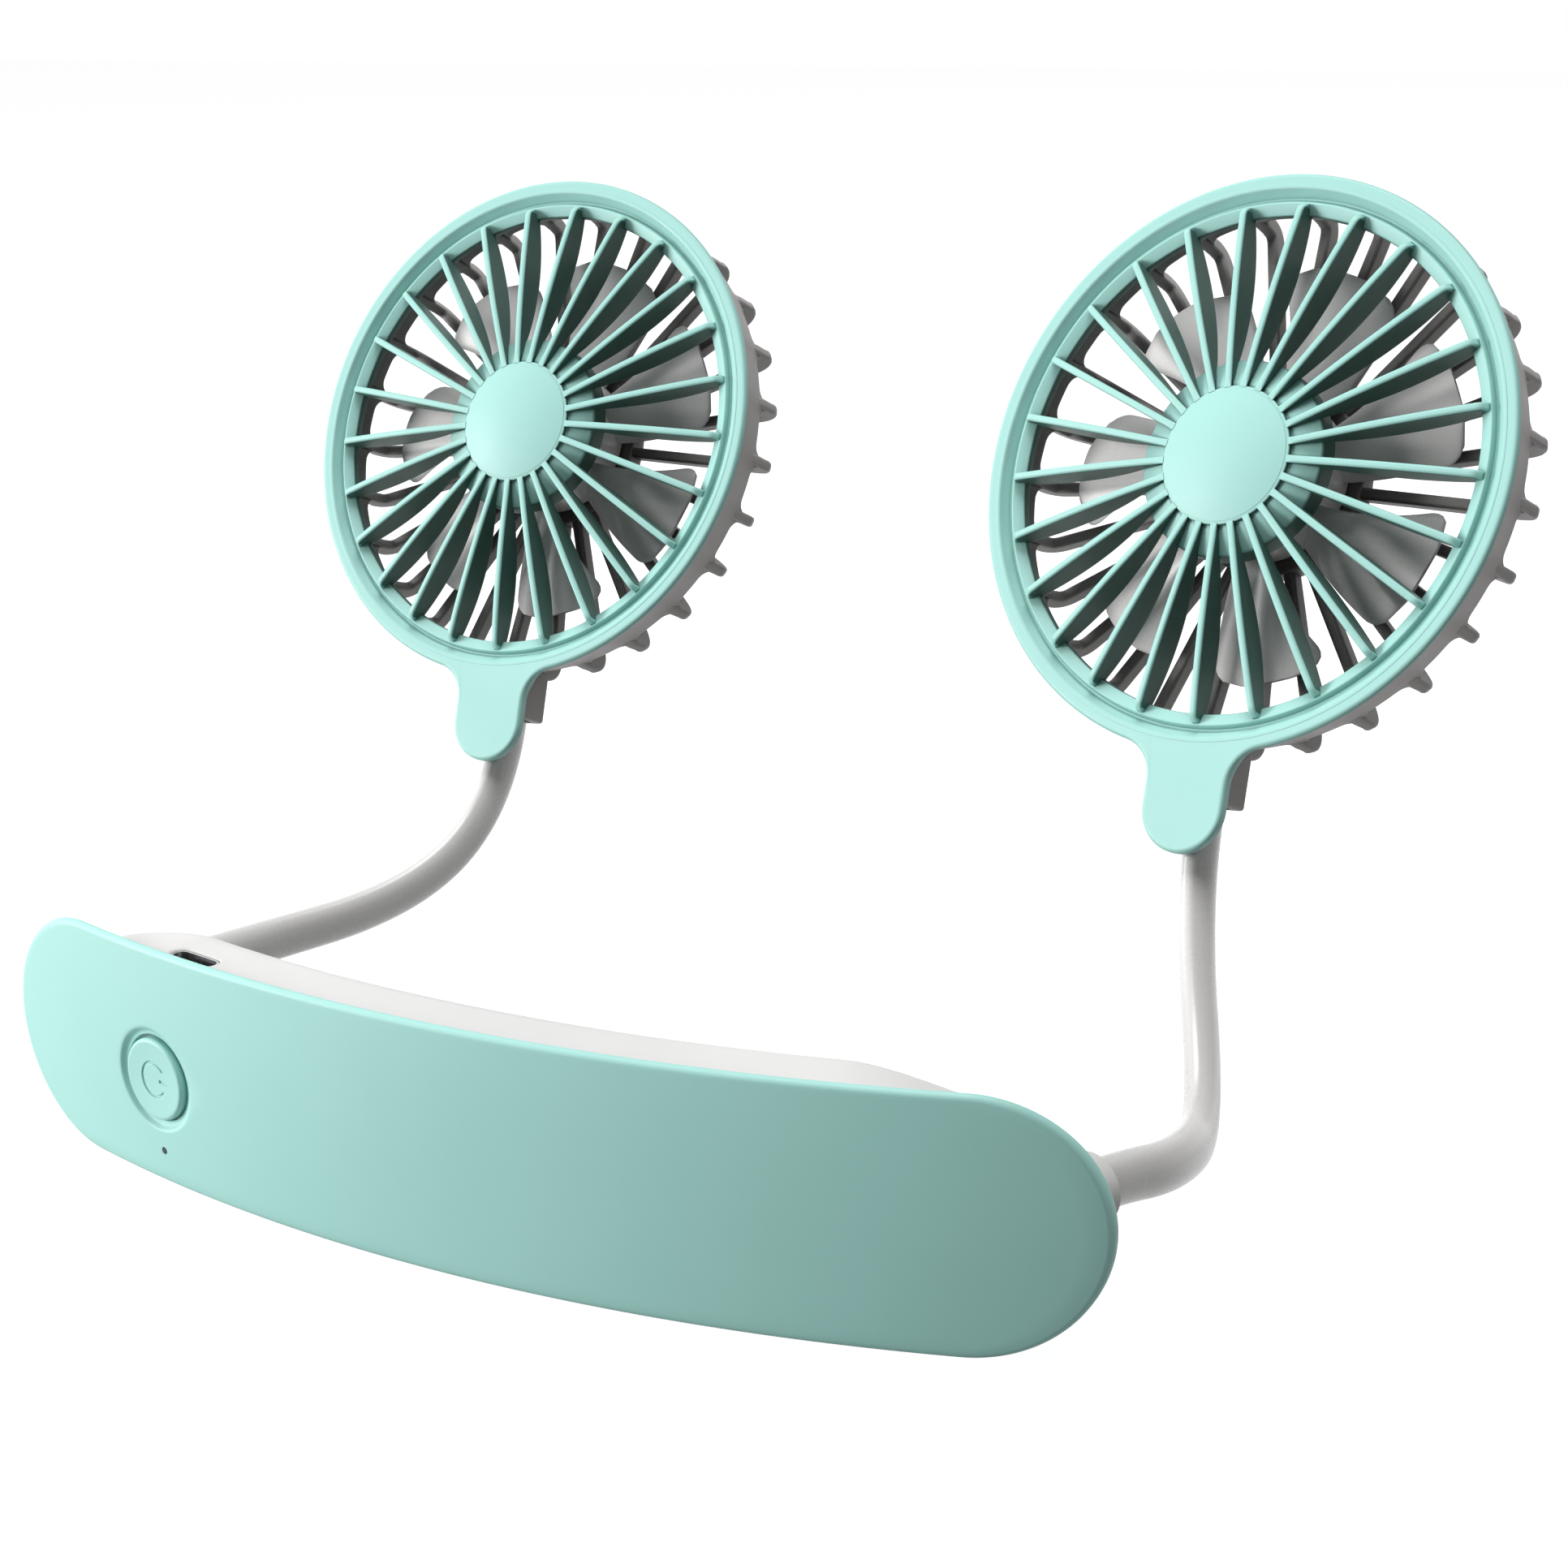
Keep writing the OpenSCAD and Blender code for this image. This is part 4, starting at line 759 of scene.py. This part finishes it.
rearShell = meshOf("rearShell", [shellPart(shell)])
for cutter in [slotCutter(shell), *atScrews(wellProfile(screws, shell["depth"]))]:
    carve(rearShell, meshOf("cutter", [cutter]), sharp=32)
place(rearShell, "neck_band", ["rear_shell"], "shell_white")
mouthRings = meshOf("mouthRings", [exitRevolved(mouthProfile(gland), arms[side]) for side in sides])
place(mouthRings, "neck_band", ["rear_shell"], "shell_white")
for side in sides:
    collar = meshOf(side + "Gland", [exitRevolved(glandProfile(gland), arms[side])])
    place(collar, "neck_band", [side + "_arm_gland"], "gland_white")
print("rear shell and glands made")


# Arms: a soft sleeve over a bendable wire, from each gland to the head's neck

arms["left"]["guides"] = [(-79.4565, 13.5277, 0), (-78.5883, 18.4517, 0), (-75.6565, 35.1277, -0.8),
                          (-59.7565, 65.4277, 1.3), (-55.0461, 85.4473, 13.6174), (-56.0221, 91.2164, 26.3361)]
arms["right"]["guides"] = [(79.4565, 13.5277, 0), (81.3296, 18.1636, 0), (86.3565, 32.7277, -2.9),
                           (83.4565, 52.6277, -5.6), (72.8147, 74.5395, 18.8578), (72.5597, 80.4407, 31.5507)]
sleeve = {
    "high": 3.8, "wide": 2.3, "sides": 40, "step": 0.9, "inside": -0.5, "intoNeck": 4.2,
    "spreadBend": (0.06, 0.72), "liftBend": (1.62, 2.38), "tiltBend": (3.24, 3.93), "splits": (1.17, 2.81),
}
heads = {
    "left": {"middle": (-59.9565, 105.5277, 74.8), "turn": -3.9, "lean": 24.1, "roll": 5.6},
    "right": {"middle": (69.9565, 95.4277, 79.9), "turn": -15.3, "lean": 23.9, "roll": 7.4},
}


def headAxes(head):
    # Rows are the head's own three axes: across, towards the top, and out of the grille
    turn, lean, roll = (math.radians(head[k]) for k in ("turn", "lean", "roll"))
    tip = math.pi / 2 - lean
    over = np.array([[1, 0, 0], [0, math.cos(tip), -math.sin(tip)], [0, math.sin(tip), math.cos(tip)]])
    return (turnedRows(turn).T @ over @ turnedRows(roll).T).T


def atHead(part, head):
    # A part given in the head's own axes, put where the head is
    return onAxes(part, headAxes(head), head["middle"])


def armPoint(guides, u):
    # Smooth curve of parabolas through the middles of the lines between guide points, straight past its ends
    g = np.array(guides, float)
    v = np.clip(u, 0, 4)
    k = np.minimum(np.floor(v).astype(int), 3)
    t = (v - k)[:, None]
    a = np.where((k == 0)[:, None], g[0], (g[k] + g[k + 1]) / 2)
    c = np.where((k == 3)[:, None], g[5], (g[np.minimum(k + 1, 5)] + g[np.minimum(k + 2, 5)]) / 2)
    b = g[k + 1]
    slope = 2 * (1 - t) * (b - a) + 2 * t * (c - b)
    return parabola(a, b, c, t) + (u - v)[:, None] * slope, unit(slope)


def evenPlaces(guides, start, end, step):
    # Places along the curve, between two of them, that are evenly spaced in millimetres
    u = np.linspace(start, end, 600)
    gone = lengthAlong(armPoint(guides, u)[0])
    return np.interp(np.linspace(0, gone[-1], max(3, int(gone[-1] / step))), gone, u)


def sleevePart(guides, head, start, end, b):
    # Ovals across the arm's curve, the cosine times their long half and the sine times their short one; the long
    # side turns from upright to the way the head faces
    u = evenPlaces(guides, start, end, b["step"])
    middle, along = armPoint(guides, u)
    share = (np.clip(u, 0, 4) / 4)[:, None]
    up = (1 - share) * np.array([0, 0, 1.0]) + share * headAxes(head)[2]
    high = unit(up - (up * along).sum(1, keepdims=True) * along)
    wide = np.cross(along, high)
    turn = fullTurn(b["sides"])[None, :, None]
    oval = b["high"] * np.cos(turn) * high[:, None] + b["wide"] * np.sin(turn) * wide[:, None]
    return closedLoft(middle[:, None] + oval)


def bendBetween(piece):
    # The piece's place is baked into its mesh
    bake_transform(piece)


for side in sides:
    guides, head = arms[side]["guides"], heads[side]
    cuts = [sleeve["inside"], *sleeve["splits"], sleeve["intoNeck"]]
    bends = [("neck_band", side + "_arm_lower", "spreadBend", ["_root_sleeve", "_lower_sleeve"]),
             (side + "_arm_lower", side + "_arm_upper", "liftBend", ["_lower_sleeve", "_upper_sleeve"]),
             (side + "_arm_upper", side + "_head", "tiltBend", ["_upper_sleeve", "_neck_sleeve"])]
    for k, (a, b, key, nodes) in enumerate(bends):
        piece = meshOf(side + "Sleeve" + str(k + 1), [sleevePart(guides, head, cuts[k], cuts[k + 1], sleeve)])
        place(piece, None, [side + n for n in nodes], "arm_silicone")
        bendBetween(piece)
print("arms made")


# Front grilles

grille = {
    "ring": 43.75, "flat": 41.5, "groove": 40.3, "grooveIn": 40.0, "grooveDepth": 1.5, "ledge": 39.5,
    "ledgeDepth": 0.6, "opening": 37.7, "openingDepth": 1.5, "lip": 41.55, "lipIn": 40.95, "lipDepth": 2.8,
    "rimDepth": 0.9, "tabDepth": 1.6, "edge": 0.62, "backEdge": 0.15, "circleSteps": 340, "tabSteps": 76,
    "edgeSteps": 6, "edgeHold": 0.05, "faceHold": 0.12, "flatHold": 0.6, "lipHold": 0.3,
    "tabHalf": 6.75, "tabReach": 58.5, "fillet": 6.0, "filletSteps": 400, "tipSteps": 600,
    "vanes": 25, "firstVane": 82.7, "vaneWidth": 1.15, "vaneEdge": 0.38, "vaneSteps": 34,
    "crestAt": 9.4, "crest": 3.0, "vaneCurve": 189.05, "bellyAt": 31.0, "belly": -3.234, "bellyCurve": 35.3,
    "vaneStart": 10.3, "vaneEnd": 37.5, "endSteps": 9, "endShare": 0.985, "flankReach": 38.5, "flankFade": 1.5,
    "dome": 10.5, "domeEdge": 2.9, "domeRise": 1.3, "domeBevel": 0.5, "domeDrop": 0.08, "domeSteps": 16,
    "skirt": 15.0, "skirtTop": 2.2, "skirtEdge": 0.9, "skirtBase": -2.6, "skirtIn": 13.8, "skirtInTop": -0.6,
    "under": 0.9, "middle": 0.3, "hubSteps": 120,
}


def rimContour(g):
    # Outline of ring and tab: the ring's circle, an arc that touches it and one side of the tab, the tab's half
    # round tip, and the other side as a mirror image; each point has an angle for the ring's inner loops
    half, fillet, reach = g["tabHalf"], g["fillet"], g["tabReach"] - g["tabHalf"]
    x = half + fillet
    y = math.sqrt((g["ring"] + fillet) ** 2 - x * x)
    meet = math.atan2(-y, x)
    bend = np.linspace(math.pi + meet, math.pi, g["filletSteps"])
    fillets = stacked(x + fillet * np.cos(bend), fillet * np.sin(bend) - y)
    tip = np.linspace(0, -math.pi / 2, g["tipSteps"])
    rightTab = np.vstack([fillets, stacked(half * np.cos(tip), half * np.sin(tip) - reach)])
    tab = np.vstack([rightTab * [-1, 1], rightTab[::-1][1:]])
    gone = lengthAlong(tab)
    even = np.linspace(0, gone[-1], g["tabSteps"] + 2)[1:-1]
    tab = stacked(*(np.interp(even, gone, column) for column in tab.T))
    around = np.linspace(meet, math.pi - meet, g["circleSteps"])
    circle = g["ring"] * stacked(np.cos(around), np.sin(around))
    under = np.linspace(math.pi - meet, meet + 2 * math.pi, g["tabSteps"] + 2)[1:-1]
    return np.vstack([circle, tab]), np.concatenate([around, under])


def rimPart(g):
    # Loops from the back over the rounded edge to the flat face, down the funnel to the ledge and behind it
    outer, turn = rimContour(g)
    normal = outwardOf(outer)
    circle = stacked(np.cos(turn), np.sin(turn))
    loops = []
    away = np.linalg.norm(outer, axis=1) - g["ring"]
    deep = g["rimDepth"] + (g["tabDepth"] - g["rimDepth"]) * smoothStep(away / 2)
    for inset, rise in softEdge(g["backEdge"])[::-1]:
        loops.append((outer - inset * normal, rise - deep))
    loops.append((outer, -g["edge"] - g["edgeHold"]))
    for v in np.linspace(0, math.pi / 2, g["edgeSteps"]):
        loops.append((outer - g["edge"] * (1 - math.cos(v)) * normal, -g["edge"] * (1 - math.sin(v))))
    loops.append((outer - (g["edge"] + g["faceHold"]) * normal, 0))
    inner = roundCorners([(g["flat"] + g["flatHold"], 0, 0.05), (g["flat"], 0, 0.3),
                          (g["groove"], -g["grooveDepth"], 0.13), (g["grooveIn"], -g["grooveDepth"], 0.13),
                          (g["ledge"], -g["ledgeDepth"], 0.25), (g["opening"], -g["openingDepth"], 0.25),
                          (g["opening"], -g["lipDepth"], 0.12), (g["lipIn"], -g["lipDepth"], 0.1),
                          (g["lip"], -g["rimDepth"], 0.02)])
    loops += [(r * circle, z) for r, z in inner]
    loops.append(((g["lip"] + g["lipHold"]) * circle, -deep))
    return closedRing(np.array([stacked(*flat.T, z) for flat, z in loops]))


def hubPart(g):
    # Low dome, the cap of a sphere, with a soft edge, over a skirt that slopes out and turns down
    rise = g["domeEdge"] + g["domeRise"]
    curve = (g["dome"] ** 2 + g["domeRise"] ** 2) / (2 * g["domeRise"])
    bevel = g["dome"] - g["domeBevel"]
    r = np.linspace(g["middle"], bevel, g["domeSteps"])
    cap = stacked(r, rise - curve + np.sqrt(curve ** 2 - r ** 2))
    edge = roundCorners([(bevel, g["domeEdge"] + g["domeDrop"], 0.02), (g["dome"], g["domeEdge"], 0.32),
                         (g["dome"], g["skirtTop"], 0.15), (g["dome"] + g["domeBevel"], g["skirtTop"], 0.1),
                         (g["skirt"], g["skirtEdge"], 0.5), (g["skirt"], g["skirtBase"], 0.25),
                         (g["skirtIn"], g["skirtBase"], 0.25), (g["skirtIn"], g["skirtInTop"], 0.2),
                         (g["dome"], g["under"], 0.2), (g["middle"], g["under"], 0.01)])
    return revolved(np.vstack([cap, edge]), g["hubSteps"], poleLoft)


def vanePart(g):
    # Rounded bars between two arcs: the front one falls from a crest by the square of the way over twice its
    # radius, the back one rises so from the belly, and the outer end closes as a half circle
    first = np.linspace(g["vaneStart"], g["vaneEnd"], g["vaneSteps"])
    front = g["crest"] - (first - g["crestAt"]) ** 2 / (2 * g["vaneCurve"])
    back = g["belly"] + (first - g["bellyAt"]) ** 2 / (2 * g["bellyCurve"])
    half = (front[-1] - back[-1]) / 2
    over = np.sin(np.linspace(0, math.pi / 2, g["endSteps"]))[1:] * g["endShare"]
    reach = half * np.sqrt(1 - over ** 2)
    middle = (front[-1] + back[-1]) / 2
    r = np.concatenate([first, g["vaneEnd"] + half * over])
    top = np.concatenate([front, middle + reach])
    low = np.concatenate([back, middle - reach])
    loops = []
    for radius, high, deep in zip(r, top, low):
        size = (high - deep) / 2
        bar = roundedBar(g["vaneWidth"], 2 * size, g["vaneEdge"], hold=min(0.12, size / 4))
        loops.append(stacked(radius, bar[:, 0], (high + deep) / 2 + bar[:, 1]))
    return closedLoft(np.array(loops))


def markPaintedFlankShade(piece, head, g):
    # Painted shade on the vanes' flanks: within reach of the axis, one less a multiple of the normal's part along it,
    # 1 on the vanes' flanks and 0 on the edges that face out
    axis = headAxes(head)[2]
    normals, points = np.empty(3 * len(piece.data.vertices)), np.empty(3 * len(piece.data.vertices))
    piece.data.vertex_normals.foreach_get("vector", normals)
    piece.data.vertices.foreach_get("co", points)
    away = points.reshape(-1, 3) / mm - np.array(head["middle"])
    away -= (away @ axis)[:, None] * axis
    flank = np.clip(1 - g["flankFade"] * np.abs(normals.reshape(-1, 3) @ axis), 0, 1)
    mark = piece.data.attributes.new("paintedFlankShade", "FLOAT", "POINT")
    mark.data.foreach_set("value", flank * (np.linalg.norm(away, axis=1) < g["flankReach"]))


for side in sides:
    parts = [rimPart(grille), hubPart(grille), *aroundAxis(vanePart(grille), grille["firstVane"], grille["vanes"])]
    piece = meshOf(side + "Grille", [atHead(p, heads[side]) for p in parts], sharp=40)
    markPaintedFlankShade(piece, heads[side], grille)
    place(piece, side + "_head", [side + "_front_grille"], "grille_mint")
print("front grilles made")


# Rear cages

cage = {
    "front": 1.0, "frontHold": 1.5, "wallBack": 8.6, "outerFront": 43.3, "outerBack": 41.7, "wall": 1.3,
    "wallEdge": 0.3, "wallHold": 0.15, "ribs": 27, "firstRib": -6.0, "stepsPerRib": 28, "rib": 1.8, "ribEdge": 0.55,
    "ribHalf": (0.75, 1.2, 1.5), "flare": 2.3, "flareIn": 0.1, "flareTop": 0.93, "outer": 42.6, "depth": 15.6,
    "ribStart": ((41.3, -5.2), (41.25, -9.0)), "bend": 2.6, "bendSteps": 13, "straightSteps": 14, "ribLap": 0.8,
    "disc": 14.5, "discFront": 12.4, "discBack": 16.2, "boss": 10.0, "bossBack": 19.0, "motorHole": 8.1,
    "motorDepth": 17.6, "shaftHole": 1.2, "hubSteps": 96,
    "neckHalf": 3.9, "neckFront": 1.7, "neckBack": 11.7, "neckReach": 50.2, "neckIn": 41.65, "neckCentre": 7.0,
    "neckCorner": 0.8, "neckEdge": ((0.45, 0), (0.13, 0.13), (0, 0.45), (0, 0.6)),
    "boreHigh": 7.8, "boreWide": 4.8, "boreEdge": ((0.9, -0.6), (0.3, 0), (0, 0.3), (0, 6.1)),
}


def wallPart(c):
    # Band round the cage; its back edge runs out to each rib along a quarter circle on both sides
    turn = np.linspace(0, 360, c["ribs"] * c["stepsPerRib"], endpoint=False)
    off = (turn - c["firstRib"] + 180 / c["ribs"]) % (360 / c["ribs"]) - 180 / c["ribs"]
    away = np.radians(abs(off)) * c["outerBack"] - c["rib"] / 2 + c["flareIn"]
    near = np.clip(1 - away / c["flare"], 0, 1)
    back = c["wallBack"] + c["flare"] * np.minimum(1 - np.sqrt(1 - near ** 2), c["flareTop"])
    soft, wall = c["wallEdge"], c["wall"]
    edge = [(0, -soft - c["wallHold"]), *[(inset, -up) for inset, up in softEdge(soft)]]
    section = [(wall, c["front"]), (0, c["front"]), (0, c["front"] + c["frontHold"])]
    section += [(inset, back + d) for inset, d in edge] + [(wall - inset, back + d) for inset, d in edge[::-1]]
    slope = (c["outerFront"] - c["outerBack"]) / (c["wallBack"] - c["front"])
    rows = []
    for inset, depth in section:
        depth = np.broadcast_to(depth, turn.shape)
        outer = c["outerFront"] - slope * (np.minimum(depth, c["wallBack"]) - c["front"])
        rows.append(roundAxis(outer - inset, np.radians(turn), -depth))
    return closedRing(np.array(rows))


def ribPath(c):
    # Middle line of a rib from the wall, round the bend and in to the hub, with its direction
    half = c["ribHalf"][-1]
    corner = np.array([c["outer"] - half, half - c["depth"]])
    a, b = corner + [0, c["bend"]], corner - [c["bend"], 0]
    curve = parabola(a, corner, b, np.linspace(0, 1, c["bendSteps"])[:, None])
    straight = np.linspace(b, (c["disc"] - c["ribLap"], corner[1]), c["straightSteps"])[1:]
    points = np.vstack([c["ribStart"], curve, straight])
    return points, unit(np.gradient(points, axis=0))


def ribPart(c):
    # Rounded bars across the rib's middle line, thinner where it leaves the wall
    points, way = ribPath(c)
    loops = []
    for p, w, half in zip(points, way, np.interp(np.arange(len(points)), [0, 1, 3], c["ribHalf"])):
        bar = roundedBar(c["rib"], 2 * half, c["ribEdge"])
        loops.append(stacked(p[0] - w[1] * bar[:, 1], bar[:, 0], p[1] + w[0] * bar[:, 1]))
    return closedLoft(np.array(loops))


def hubDisc(c):
    # Disc that the ribs meet, with a boss behind it and the motor's recess in front
    profile = roundCorners([(c["motorHole"], -c["discFront"], 0.2), (c["disc"], -c["discFront"], 0.5),
                            (c["disc"], -c["discBack"], 0.7), (c["boss"], -c["discBack"], 0.4),
                            (c["boss"], -c["bossBack"], 0.6), (c["shaftHole"], -c["bossBack"], 0.1),
                            (c["shaftHole"], -c["motorDepth"], 0.1), (c["motorHole"], -c["motorDepth"], 0.1)], 6)
    return revolved(profile, c["hubSteps"])


def neckPart(c):
    # Box below the wall, with rounded edges, round its bore for the arm
    high, middle = c["neckBack"] - c["neckFront"], -(c["neckFront"] + c["neckBack"]) / 2
    loops = []
    for inset, y in [*[(inset, up - c["neckReach"]) for inset, up in c["neckEdge"]], (0, -c["neckIn"])]:
        bar = roundedBar(2 * (c["neckHalf"] - inset), high - 2 * inset, c["neckCorner"] - inset / 2, 5)
        loops.append(stacked(bar[:, 0], y, middle + bar[:, 1]))
    return closedLoft(np.array(loops))


def neckBore(c):
    # A stadium carried up into the neck's box, wider where it enters
    loops = []
    for grow, up in c["boreEdge"]:
        flat = stadiumLoop(c["boreHigh"] + 2 * grow, c["boreWide"] + 2 * grow)
        loops.append(stacked(flat[:, 1], up - c["neckReach"], flat[:, 0] - c["neckCentre"]))
    return closedLoft(np.array(loops))


for side in sides:
    head = heads[side]
    parts = [wallPart(cage), hubDisc(cage), *aroundAxis(ribPart(cage), cage["firstRib"], cage["ribs"])]
    piece = meshOf(side + "Cage", [atHead(p, head) for p in parts], sharp=40)
    place(piece, side + "_head", [side + "_rear_cage"], "cage_white")
    neck = meshOf(side + "Neck", [atHead(neckPart(cage), head)])
    carve(neck, meshOf("cutter", [atHead(neckBore(cage), head)]))
    place(neck, side + "_head", [side + "_rear_cage"], "cage_white")
print("rear cages made")


# Impellers

impeller = {
    "blades": 7, "first": 12.0, "root": 11.9, "radius": 32.0, "front": 5.4, "tipFront": 9.0, "rootBack": 11.3,
    "tipBack": 11.6, "rootChord": 30.0, "tipChord": 38.0, "skew": 12.0, "thickness": 1.15, "tipThin": 0.35,
    "fullness": 6, "camber": 2.0, "rootCamber": 0.4, "cornerShare": 0.2, "cornerCut": 0.55, "cornerPower": 2.4,
    "outSteps": 26, "aroundSteps": 44,
    "hub": 12.5, "hubFront": 4.6, "hubBack": 12.0, "hubEdge": 1.2, "room": 9.2, "roomFront": 6.8, "boss": 2.0,
    "bossBack": 7.6, "shaft": 0.76, "shaftFront": 5.5, "hubSteps": 96,
}


def bladePart(b):
    # Scoop that bows by the sine of the way from its leading to its trailing edge; its thickness falls off to both
    # as the root of one less the sixth power, and the chord shortens at the tip by a root too
    out = np.linspace(0, 1, b["outSteps"])[:, None]
    around = fullTurn(b["aroundSteps"])[None, :]
    back = 0.5 - 0.5 * np.cos(around)
    side = np.where(around < math.pi, 1.0, -1.0)
    corner = np.clip((out - 1 + b["cornerShare"]) / b["cornerShare"], 0, 1)
    chord = 1 - b["cornerCut"] * (1 - np.sqrt(1 - corner ** b["cornerPower"]))
    along = 0.5 + (back - 0.5) * chord
    full = np.sqrt(1 - (2 * back - 1) ** b["fullness"])
    thick = b["thickness"] / 2 * full * (1 - b["tipThin"] * out)
    r = b["root"] + (b["radius"] - b["root"]) * out + 0 * around
    first = b["front"] + (b["tipFront"] - b["front"]) * out
    last = b["rootBack"] + (b["tipBack"] - b["rootBack"]) * out - b["thickness"]
    z = -(first + b["thickness"] / 2 + (last - first) * along)
    z = z + b["camber"] * np.sin(math.pi * along) * (b["rootCamber"] + (1 - b["rootCamber"]) * out) + side * thick
    a = np.radians(b["skew"] * out + (b["rootChord"] + (b["tipChord"] - b["rootChord"]) * out) * (0.5 - along))
    return closedLoft(roundAxis(r, a, z))


def bladeHub(b):
    # Cap with a soft front edge, hollow behind, with a boss for the shaft
    profile = roundCorners([(b["shaft"], -b["shaftFront"], 0.05), (b["shaft"], -b["hubFront"], 0.1),
                            (b["hub"], -b["hubFront"], b["hubEdge"]), (b["hub"], -b["hubBack"], 0.3),
                            (b["room"], -b["hubBack"], 0.2), (b["room"], -b["roomFront"], 0.4),
                            (b["boss"], -b["roomFront"], 0.2), (b["boss"], -b["bossBack"], 0.1),
                            (b["shaft"], -b["bossBack"], 0.05)], 7)
    return revolved(profile, b["hubSteps"])


for side in sides:
    parts = [bladeHub(impeller), *aroundAxis(bladePart(impeller), impeller["first"], impeller["blades"])]
    piece = meshOf(side + "Impeller", [atHead(p, heads[side]) for p in parts], sharp=45)
    place(piece, side + "_rotor", [side + "_impeller"], "impeller_white")
print("impellers made")


# The solids that stay as they are take their finish too

nodeFinishes = {
    "tact_switch": "switch_black", "status_light": "light_pipe", "circuit_board": "board_green",
    "left_battery_cell": "cell_wrap", "right_battery_cell": "cell_wrap", "charging_socket": "socket_metal",
    "shell_screws": "screw_steel",
}
pairFinishes = {
    "lower_core": "core_wire", "upper_core": "core_wire", "motor": "motor_can", "motor_bearing": "bearing_brass",
    "motor_screws": "screw_steel", "motor_shaft": "shaft_steel",
}
nodeFinishes.update({side + "_" + part: key for side in sides for part, key in pairFinishes.items()})
for name, key in nodeFinishes.items():
    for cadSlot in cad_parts[name].material_slots:
        cadSlot.material = materials[key]


# Floor, lamps and world

stage = {
    "middle": (0.0, 0.045, 0.045),
    "ambient": (0.09, 0.088, 0.086), "floorGrey": 0.25, "floorShade": 0.5, "floorGlow": 0.94, "floorHalf": 4.0,
    "grainScale": 300.0, "grainDetail": 2.0, "grainLow": 0.97,
}
lamps = {
    "keyLamp": {"turn": 60, "rise": 8, "away": 1.6, "size": 0.6, "level": 0.98, "color": (1.0, 0.99, 0.98)},
    "topLamp": {"turn": 0, "rise": 86, "away": 1.4, "size": 0.8, "level": 0.8, "color": (1.0, 1.0, 1.0)},
}


def addLamp(name, lamp):
    # A square lamp, turned from the front to the left and raised, in degrees; its level is
    # what it adds to a white surface that faces it at the middle of the object
    data = bpy.data.lights.new(name, "AREA")
    data.shape, data.size, data.color = "SQUARE", lamp["size"], lamp["color"]
    data.energy = lamp["level"] * math.pi ** 2 * lamp["away"] ** 2
    turn, rise = math.radians(lamp["turn"]), math.radians(lamp["rise"])
    way = Vector((-math.sin(turn) * math.cos(rise), -math.cos(turn) * math.cos(rise), math.sin(rise)))
    piece = addObject(name, data)
    piece.location = Vector(stage["middle"]) + way * lamp["away"]
    piece.rotation_euler = way.to_track_quat("Z", "Y").to_euler()


def seenDirectly(tree):
    # 1 for rays from the camera, from gloss and through glass, else 0
    path = addNode(tree, "LightPath", {}).outputs
    both = addNode(tree, "Math", {0: path["Is Camera Ray"], 1: path["Is Glossy Ray"]}, operation="MAXIMUM").outputs[0]
    return addNode(tree, "Math", {0: both, 1: path["Is Transmission Ray"]}, operation="MAXIMUM").outputs[0]


def makeWorld():
    # White where it is seen, and a soft grey light everywhere else
    world = bpy.data.worlds.new("studio")
    bpy.context.scene.world = world
    world.use_nodes = True
    tree = world.node_tree
    soft = tree.nodes["Background"]
    soft.inputs["Color"].default_value = (*stage["ambient"], 1)
    white = addNode(tree, "Background", {"Color": (1, 1, 1, 1), "Strength": 1.0})
    mixed = addNode(tree, "MixShader", {0: seenDirectly(tree), 1: soft.outputs[0], 2: white.outputs[0]})
    tree.links.new(mixed.outputs[0], tree.nodes["World Output"].inputs["Surface"])


def makeFloor():
    # A plain sheet that looks white, keeps a faint shadow and throws back less light than it shows
    half, z = stage["floorHalf"], view["floor"] * mm
    mesh = bpy.data.meshes.new("floor")
    mesh.from_pydata([(-half, -half, z), (half, -half, z), (half, half, z), (-half, half, z)], [], [(0, 1, 2, 3)])
    floor = addObject("floor", mesh)
    material = bpy.data.materials.new("floorPaper")
    material.use_nodes = True
    tree = material.node_tree
    tree.nodes.remove(tree.nodes["Principled BSDF"])
    grain = noiseAt(tree, objectPlace(tree), stage["grainScale"], stage["grainDetail"])
    shade = spread(tree, grain, (0.0, 1.0), stage["grainLow"], 1.0)
    grey = addNode(tree, "BsdfDiffuse", {"Color": (stage["floorGrey"],) * 3 + (1,)}).outputs[0]
    tone = blendColours(tree, shade, (0, 0, 0, 1), (stage["floorShade"],) * 3 + (1,))
    pale = addNode(tree, "BsdfDiffuse", {"Color": tone}).outputs[0]
    glow = addNode(tree, "Emission", {"Color": (1, 1, 1, 1), "Strength": stage["floorGlow"]}).outputs[0]
    shown = addNode(tree, "AddShader", {0: pale, 1: glow}).outputs[0]
    mixed = addNode(tree, "MixShader", {0: seenDirectly(tree), 1: grey, 2: shown}).outputs[0]
    tree.links.new(mixed, tree.nodes["Material Output"].inputs["Surface"])
    mesh.materials.append(material)


makeFloor()
makeWorld()
for name, lamp in lamps.items():
    addLamp(name, lamp)
print("floor, lamps and world made")
